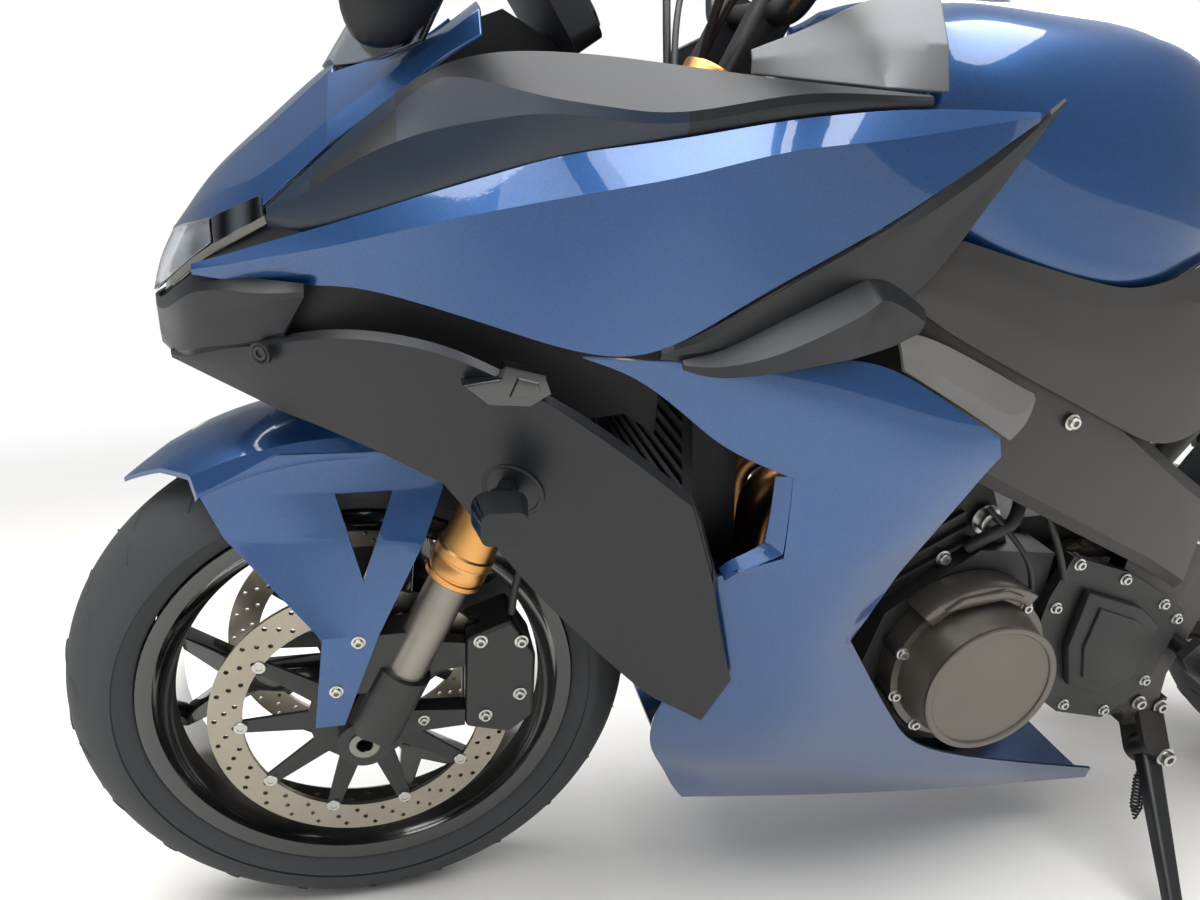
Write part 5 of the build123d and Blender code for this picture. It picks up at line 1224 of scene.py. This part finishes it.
mirrorShape = {
    "foot": [((34, 119, 944), (0.05, 0.15, 1), 34, 20), ((44, 126, 978), (0.05, 0.3, 1), 78, 28),
             ((50, 142, 1000), (0.1, 0.6, 1), 72, 29), ((56, 172, 1022), (0.1, 0.9, 1), 58, 27),
             ((66, 222, 1052), (0.15, 1, 0.8), 46, 23), ((78, 274, 1084), (0.2, 1, 0.5), 40, 20)],
    "shell": [(62, 60, 26), (68, 104, 52), (80, 140, 78), (98, 162, 94), (110, 167, 98)],
    "glass": [(109, 154, 85), (111, 158, 89), (111.6, 154, 85)],
    "middle": (328, 1098),
}
form = bmesh.new()
for side in (-1, 1):
    softLoft(form, [((x, side * y, z), (dx, side * dy, dz), 0, length, thick, 5)
                    for (x, y, z), (dx, dy, dz), length, thick in mirrorShape["foot"]])
    acrossMirror, heightMirror = mirrorShape["middle"]
    softLoft(form, [((x, side * acrossMirror, heightMirror), (1, 0, 0), 0, wide, tall, 4)
                    for x, wide, tall in mirrorShape["shell"]], sides=20)
    softLoft(form, [((x, side * acrossMirror, heightMirror), (1, 0, 0), 0, wide, tall, 4)
                    for x, wide, tall in mirrorShape["glass"]], sides=20, finish=1)
place(form, "mirrorPair", "chassis", [satinBlackAbs, mirrorGlass], hides=("mirrors",),
      softDegrees=50, layers=[("SUBSURF", {"levels": 2, "render_levels": 2})])

bar = {"gripStart": (410.9, 250.5, 1070.2), "along": (0.2310, 0.9722, -0.0385), "gripLength": 124,
       "gripRadius": 17.4, "ribs": 15, "ribRadius": 18.4,
       "endWeight": [(0.1, 147.6), (9, 147.4), (14.6, 145.5), (15.8, 142), (15.8, 127), (13, 125)],
       # the switch pod lies inboard of the grip; its buttons: height, way out, radius
       "podInboard": 21, "podFace": 23.6, "buttons": [(9, -8, 5.4), (9, 8, 5.4), (-8, 0, 6.6)]}
refined("handlebar", 2.0, [blackPaint], "steering")
form = bmesh.new()
for side in (-1, 1):
    start = Vector((bar["gripStart"][0], side * bar["gripStart"][1], bar["gripStart"][2]))
    along = Vector((bar["along"][0], side * bar["along"][1], bar["along"][2]))
    rubber = [(14, -1), (21, 0), (21, 3), (bar["gripRadius"], 4.5)]
    pitch = (bar["gripLength"] - 12) / bar["ribs"]
    for k in range(bar["ribs"]):
        at = 6 + k * pitch
        rubber += [(bar["gripRadius"], at), (bar["ribRadius"], at + 1.4),
                   (bar["ribRadius"], at + pitch - 2.6), (bar["gripRadius"], at + pitch - 1.2)]
    rubber += [(18.6, bar["gripLength"] - 3), (16, bar["gripLength"])]
    turned(form, rubber, seatAt(start, along), 40)
    turned(form, bar["endWeight"], seatAt(start, along), 40, finish=1)
    pod = start - along * bar["podInboard"]
    for lift, out, size in bar["buttons"]:
        spot = pod + Vector((bar["podFace"], 0, lift)) + along * out
        turned(form, [(size, -1), (size, 2.6), (size - 1, 3.6), (0.1, 3.8)],
               seatAt(spot, (1, 0, 0)), 24, finish=1 if lift > 0 else 2)
place(form, "gripsAndSwitches", "steering", [gripRubber, blackPaint, switchRed])

controlHoses = {
    # names on the left and the right: radius, then points from the bar into the fairing
    ("clutchHose", "brakeHose"): (4.0, [(372, 222, 1066), (344, 200, 1078), (322, 150, 1076),
                                        (318, 98, 1040), (312, 58, 975), (312, 42, 930)]),
    ("switchLoom", "throttleLoom"): (3.4, [(396, 214, 1056), (370, 172, 1074), (344, 112, 1044),
                                           (318, 58, 985), (314, 26, 930)]),
}
for hoseNames, (radius, points) in controlHoses.items():
    for side, hoseName in zip((-1, 1), hoseNames):
        tube(hoseName, "steering", hoseRubber, radius,
             [onBike(x, side * y, z) for x, y, z in points])

dials = {
    "middle": (182, 0, 1012), "tilt": 35.0,
    # lift off the panel, width, height
    "frame": [(0.2, 184, 106), (3.4, 184, 106), (4.4, 181, 103), (2.8, 172, 97), (2.2, 171, 96)],
    "glass": [(1.8, 171, 96), (2.6, 170, 95), (2.7, 169, 94)],
}
tilt = radians(dials["tilt"])
dialWay = Vector((cos(tilt), 0, sin(tilt)))
form = bmesh.new()
for finish, key in enumerate(("frame", "glass")):
    softLoft(form, [(Vector(dials["middle"]) + dialWay * lift, dialWay, 0, wide, tall, 6)
                    for lift, wide, tall in dials[key]], sides=32, finish=finish)
place(form, "dialSurround", "chassis", [satinBlackAbs, displayGlass], softDegrees=30)

cap = {
    "middle": (590, 0, 1036), "screws": 6, "screwCircle": 29.5, "screwLift": 3.0,
    "profile": [(34, 0.4), (34, 2.0), (32, 3.2), (26, 3.4), (25, 2.6), (0.1, 2.6)],
}
form = bmesh.new()
turned(form, cap["profile"], seatAt(cap["middle"], (0, 0, 1)), 64)
for k in range(cap["screws"]):
    x, y = onCircle(cap["middle"], cap["screwCircle"], 360 * k / cap["screws"])
    bolt(form, (x, y, cap["middle"][2] + cap["screwLift"]), (0, 0, 1), 2.6, washer=False)
place(form, "capTop", "filler", [zincBolt])
print("cockpit made")

# Seats: stuffed covers over foam, blown up gently as cloth, then welted

seats = {
    "riderSeat": {
        "hides": "rider_seat", "fill": 0.7, "pressure": 4.0, "voxelMm": 5.0, "mostMm": 7.0,
        "rows": [
            (806, [(0, 796), (94, 796), (99, 801), (85, 804), (0, 808)]),
            (850, [(0, 785), (110, 785), (115, 797), (98, 804), (0, 809)]),
            (900, [(0, 775), (124, 775), (129, 793), (109, 804), (0, 809)]),
            (950, [(0, 759), (132, 759), (137, 790), (116, 802), (0, 808)]),
            (1000, [(0, 758), (139, 758), (144, 788), (121, 802), (0, 807)]),
            (1060, [(0, 768), (141, 768), (145, 796), (123, 812), (0, 818)]),
            (1106, [(0, 776), (141, 776), (145, 807), (122, 821), (0, 827)]),
            (1126, [(0, 779), (138, 779), (142, 821), (119, 836), (0, 841)]),
            (1148, [(0, 783), (135, 783), (137, 834), (114, 851), (0, 856)]),
        ],
        "seams": (1040, 1112),
    },
    "pillionSeat": {
        "hides": "pillion_seat", "fill": 0.7, "pressure": 4.0, "voxelMm": 5.0, "mostMm": 7.0,
        "rows": [
            (1153.5, [(0, 784), (121, 784), (125, 858), (102, 873), (0, 878)]),
            (1215, [(0, 794), (118, 794), (122, 869), (99, 885), (0, 890)]),
            (1280, [(0, 806), (113, 806), (117, 880), (96, 896), (0, 903)]),
            (1350, [(0, 818), (104, 818), (110, 886), (90, 901), (0, 908)]),
            (1420, [(0, 830), (94, 830), (100, 892), (83, 906), (0, 912)]),
            (1486, [(0, 841), (74, 841), (82, 894), (69, 904), (0, 909)]),
        ],
        "seams": (1210, 1400),
    },
}
seatMaking = {
    # cloth frames; how level a face is to be held as base or covered as top; shares of the half
    # width for the top's cover and for the welts
    "frames": 20, "baseLevel": 0.35, "topLevel": 0.55, "topShare": 0.86, "weltShare": 0.90,
}


def stuffed(name, pad):
    # a closed cover over the foam's form, blown up as cloth except where it rests on its base
    form = bmesh.new()
    sheetOf(form, pad["rows"], sideSpot, (), 0.0, cornerDegrees=0)
    bmesh.ops.holes_fill(form, edges=form.edges, sides=16)
    bmesh.ops.recalc_face_normals(form, faces=form.faces)
    piece = place(form, name, "chassis", [seatVinyl], hides=(pad["hides"],), softDegrees=0,
                  layers=[("SUBSURF", {"levels": 2, "render_levels": 2}),
                          ("REMESH", {"mode": "VOXEL", "voxel_size": pad["voxelMm"] * mm})])

    def bake():
        seen = bpy.context.evaluated_depsgraph_get()
        fresh = bpy.data.meshes.new_from_object(piece.evaluated_get(seen))
        piece.modifiers.clear()
        piece.data = fresh
        return [vert.co.copy() for vert in fresh.vertices]

    bpy.context.view_layer.update()
    still = bake()
    upward = leanTurn.to_3x3() @ Vector((0, 0, 1000))
    hold = piece.vertex_groups.new(name="base")
    based = {vert.index for vert in piece.data.vertices if vert.normal.dot(upward) < -seatMaking["baseLevel"]}
    hold.add(list(based), 1.0, "REPLACE")
    cloth = piece.modifiers.new("cover", "CLOTH")
    cloth.settings.use_pressure = True
    cloth.settings.uniform_pressure_force = pad["pressure"]
    cloth.settings.effector_weights.gravity = 0
    cloth.settings.vertex_group_mass = "base"
    cloth.point_cache.frame_start = 1
    cloth.point_cache.frame_end = seatMaking["frames"]
    for step in range(1, seatMaking["frames"] + 1):
        bpy.context.scene.frame_set(step)
    moved = bake()
    most = pad["mostMm"] * mm
    for vert, before, after in zip(piece.data.vertices, still, moved):
        shift = after - before
        if vert.index in based:
            shift = Vector((0, 0, 0))
        vert.co = before + (shift if shift.length < most else shift.normalized() * most)
    bpy.context.scene.frame_set(1)
    piece.vertex_groups.clear()
    piece.data.materials.clear()
    for finish in (seatVinyl, seatTopVinyl):
        piece.data.materials.append(finish)
    toBike = parked.inverted()
    for face in piece.data.polygons:
        middle = toBike @ face.center
        lift = face.normal.dot(upward)
        inside = abs(middle.y) < seatEdge(pad, middle.x) * seatMaking["topShare"]
        face.material_index = 1 if lift > seatMaking["topLevel"] and inside else 0
    piece.data.shade_smooth()
    finer = piece.modifiers.new("finer", "SUBSURF")
    finer.levels = finer.render_levels = 1
    return piece


def seatEdge(pad, x):
    # half width of the seat's shoulder at a station
    rows = pad["rows"]
    for (a, first), (b, second) in zip(rows, rows[1:]):
        if a <= x <= b:
            return first[2][0] + (second[2][0] - first[2][0]) * (x - a) / (b - a)
    return rows[0][1][2][0] if x < rows[0][0] else rows[-1][1][2][0]


def weltAlong(name, tree, guides, radius=1.7):
    # a piped seam that lies on the cover, half sunk into it
    spots = []
    for guide in guides:
        spot, normal, _, _ = tree.find_nearest(onBike(*guide))
        spots.append(spot + normal * radius * 0.2 * mm)
    tube(name, "chassis", seatVinyl, radius, spots, smoothness=3)


for pieceName, pad in seats.items():
    piece = stuffed(pieceName, pad)
    skin = bmesh.new()
    skin.from_mesh(piece.data)
    tree = BVHTree.FromBMesh(skin)
    rows = pad["rows"]
    first, last = rows[0][0] + 8, rows[-1][0] - 8
    for side in (-1, 1):
        guides = []
        for k in range(25):
            x = first + (last - first) * k / 24
            height = next((a[1][3][1] for a in rows if a[0] >= x), rows[-1][1][3][1])
            guides.append((x, side * seatEdge(pad, x) * seatMaking["weltShare"], height + 6))
        weltAlong(pieceName + ("WeltLeft" if side < 0 else "WeltRight"), tree, guides)
    for x in pad["seams"]:
        reach = seatEdge(pad, x) * seatMaking["weltShare"]
        height = next(a[1][4][1] for a in rows if a[0] >= x)
        weltAlong(pieceName + "Seam" + str(x), tree,
                  [(x, -reach + 2 * reach * k / 20, height + 10) for k in range(21)], 1.3)
    skin.free()
print("seats stuffed and welted")

# Rear: exhaust, shock, chain drive, grab rails and lamps

silencer = {
    "from": 995, "startAt": (1000, 212, 240), "endAt": (1330, 214, 330), "bandAt": 70,
    # along the silencer, width, height
    "endCap": [(-16, 122, 134), (-15, 124, 136), (3, 124, 136), (5, 120, 132), (5, 96, 108),
               (-8, 92, 104)],
    "band": [(-9, 112, 106), (-9, 116, 112), (9, 117, 115), (9, 113, 110)],
    "outlet": [(22, -6), (25, 0), (25, 14), (21, 14), (21, 0), (0.1, -4)],
}


def exhaustPaint(middle, normal):
    return 1 if middle.x > silencer["from"] else 0


refined("exhaust", 2.5, [exhaustSteel, silencerSteel], "chassis", paint=exhaustPaint,
        foldDegrees=40)
refined("chain", 0.5, [chainSteel], "chassis")
refined("rear_sprocket", 0.5, [chainSteel], "rear_wheel")
refined("grab_rails", 0, [blackPaint], "chassis")
refined("radiator", 0.6, [radiatorAlloy], "chassis")
refined("shock", 1.5, [blackPaint], "chassis")

form = bmesh.new()
tail = Vector(silencer["endAt"])
way = (tail - Vector(silencer["startAt"])).normalized()
softLoft(form, [(tail + way * lift, way, 0, wide, tall, 4) for lift, wide, tall in silencer["endCap"]],
         sides=28)
for lift in (-22, 22):
    turned(form, silencer["outlet"], seatAt(tail + Vector((0, 0, lift)) + way * 2, way), 40, finish=1)
band = Vector(silencer["startAt"]) + way * silencer["bandAt"]
softLoft(form, [(band + way * lift, way, 0, wide, tall, 4) for lift, wide, tall in silencer["band"]],
         sides=28, finish=1)
place(form, "silencerTrim", "chassis", [blackPaint, exhaustTip], softDegrees=40)

spring = {"turns": 7.5, "radius": 36.5, "wire": 5.5, "low": 338, "high": 462, "middle": (975, 0)}
steps = int(spring["turns"] * 12)
coil = []
for k in range(steps + 1):
    turn = 2 * pi * spring["turns"] * k / steps
    coil.append(onBike(spring["middle"][0] + spring["radius"] * cos(turn),
                       spring["middle"][1] + spring["radius"] * sin(turn),
                       spring["low"] + (spring["high"] - spring["low"]) * k / steps))
tube("shockSpring", "chassis", springPaint, spring["wire"], coil, smoothness=5)

pegs = {
    # (x, z), then from and to half width
    "places": [((985, 322), (196, 276)), ((1234, 488), (152, 230))],
    "ribs": 9, "ribRadius": 14.6,
}
form = bmesh.new()
for (x, z), (inner, outer) in pegs["places"]:
    for side in (-1, 1):
        ribs = [(12.2, inner)]
        span = (outer - 8 - inner - 6) / pegs["ribs"]
        for k in range(pegs["ribs"]):
            at = inner + 6 + k * span
            ribs += [(13.4, at), (pegs["ribRadius"], at + 1.5), (pegs["ribRadius"], at + span - 3),
                     (13.4, at + span - 1.5)]
        ribs += [(15.4, outer - 6), (15.4, outer - 1.5), (12, outer)]
        turned(form, ribs, seatAt((x, 0, z), (0, side, 0)), 32)
place(form, "pegRubbers", "chassis", [gripRubber])

# rails, axle nuts and adjusters at the swingarm's end, then the two bolts of the rear caliper
rearBolts = []
for side in (-1, 1):
    rearBolts += [((x, side * 141, z), (0, side, 0.35), 4.2) for x, z in ((1270, 858), (1300, 868))]
    rearBolts += [((x, side * out, z), (0, side, 0), radius) for x, out, z, radius in (
        (1460, 162, 300, 15.0), (1330, 154, 322, 5.0), (1400, 154, 312, 4.5))]
rearBolts += [((x, 124, z), (0, 1, 0), 5.5) for x, z in ((1392, 390), (1372, 372))]
boltsAs("rearBolts", "chassis", rearBolts)

form = bmesh.new()
softLoft(form, [((x, 0, 897.4), (1, 0, 0), 0, wide, tall, 5)
                for x, wide, tall in ((1838.6, 78, 15), (1840.2, 76, 13))], sides=28)
place(form, "tailLampStrip", "chassis", [redLens], softDegrees=30)
print("rear made")

# Floor, lights and camera

studio = {
    "floorColour": "#DAD8D4", "floorRadius": 30.0, "fadeStart": 1.6, "fadeEnd": 5.0,
    "skyColour": "#EDF0F3", "skyStrength": 0.33,
    "lamps": [
        # name, place, aim, width, height, watts
        ("overheadSoftbox", (-0.6, -0.6, 3.4), (-0.4, 0.0, 0.6), 4.6, 3.4, 330.0),
        ("leftSoftbox", (-2.2, -3.4, 3.0), (-0.4, 0.0, 0.6), 2.6, 2.2, 40.0),
        ("rearSoftbox", (2.6, 2.4, 2.4), (0.0, 0.0, 0.6), 2.2, 2.0, 60.0),
    ],
}
floorMesh = bmesh.new()
bmesh.ops.create_circle(floorMesh, cap_ends=True, segments=64, radius=studio["floorRadius"])
floorData = bpy.data.meshes.new("floor")
floorMesh.to_mesh(floorData)
floorMesh.free()
floor = bpy.data.objects.new("floor", floorData)
bpy.context.scene.collection.objects.link(floor)
floorPaint, floorTree, floorShader = newFinish("paleFloor", Roughness=0.85)
floorShader.inputs["Base Color"].default_value = hexColour(studio["floorColour"])
# far from the machine the floor fades into the pale background
floorPlace = addNode(floorTree, "ShaderNodeTexCoord").outputs["Object"]
farAway = addNode(floorTree, "ShaderNodeVectorMath", {0: floorPlace}, operation="LENGTH")
fade = addNode(floorTree, "ShaderNodeMapRange", {
    "Value": farAway.outputs["Value"], "From Min": studio["fadeStart"], "From Max": studio["fadeEnd"]},
    interpolation_type="SMOOTHSTEP")
farGlow = addNode(floorTree, "ShaderNodeEmission", {"Color": hexColour("#FFFFFF"), "Strength": 1.0})
floorMix = addNode(floorTree, "ShaderNodeMixShader", {
    0: fade.outputs[0], 1: floorShader.outputs[0], 2: farGlow.outputs[0]})
addNode(floorTree, "ShaderNodeOutputMaterial", {"Surface": floorMix.outputs[0]}).is_active_output = True
floorData.materials.append(floorPaint)

world = bpy.data.worlds.new("studioSky")
bpy.context.scene.world = world
world.use_nodes = True
skyTree = world.node_tree
skyTree.nodes.clear()
rays = addNode(skyTree, "ShaderNodeLightPath")
seen = addNode(skyTree, "ShaderNodeMath", {0: rays.outputs["Is Camera Ray"],
                                           1: rays.outputs["Is Transmission Ray"]}, operation="MAXIMUM")
skyGlow = addNode(skyTree, "ShaderNodeMixRGB", {
    "Fac": seen.outputs[0], "Color1": hexColour(studio["skyColour"]), "Color2": hexColour("#FFFFFF")})
skyPower = addNode(skyTree, "ShaderNodeMapRange", {
    "Value": seen.outputs[0], "To Min": studio["skyStrength"], "To Max": 1.0})
sky = addNode(skyTree, "ShaderNodeBackground", {"Color": skyGlow.outputs[0],
                                                "Strength": skyPower.outputs[0]})
addNode(skyTree, "ShaderNodeOutputWorld", {"Surface": sky.outputs[0]})

for lampName, lampPlace, lampAim, wide, tall, watts in studio["lamps"]:
    lampData = bpy.data.lights.new(lampName, "AREA")
    lampData.shape = "RECTANGLE"
    lampData.size, lampData.size_y, lampData.energy = wide, tall, watts
    lamp = bpy.data.objects.new(lampName, lampData)
    lamp.location = lampPlace
    lamp.rotation_euler = (Vector(lampAim) - Vector(lampPlace)).to_track_quat("-Z", "Y").to_euler()
    bpy.context.scene.collection.objects.link(lamp)

photographer = {
    # upright millimetres beside the fairing, then degrees from a level look to the right
    "place": (31.386, -857.023, 935.664),
    "yaw": 14.7466, "pitch": 22.7794, "roll": -3.8140, "focalPixels": 883.896, "frameWidth": 1200,
}
yaw, pitch, roll = (radians(photographer[k]) for k in ("yaw", "pitch", "roll"))
ahead = Vector((sin(yaw) * cos(pitch), cos(yaw) * cos(pitch), -sin(pitch)))
level = Vector((cos(yaw), -sin(yaw), 0))
down = ahead.cross(level)
right = level * cos(roll) + down * sin(roll)
up = level * sin(roll) - down * cos(roll)
leanOnly = Matrix.Rotation(radians(stance["lean"]), 3, "X")
camera = bpy.data.objects.new("camera", bpy.data.cameras.new("camera"))
bpy.context.scene.collection.objects.link(camera)
view = Matrix((leanOnly @ right, leanOnly @ up, leanOnly @ -ahead)).transposed().to_4x4()
camera.matrix_world = Matrix.Translation(onBike(*photographer["place"])) @ view
camera.data.sensor_width = 36.0
camera.data.lens = 36.0 * photographer["focalPixels"] / photographer["frameWidth"]
camera.data.clip_start = 0.02
bpy.context.scene.camera = camera
bpy.context.scene.view_settings.view_transform = "Standard"
print("floor, lamps and camera set")
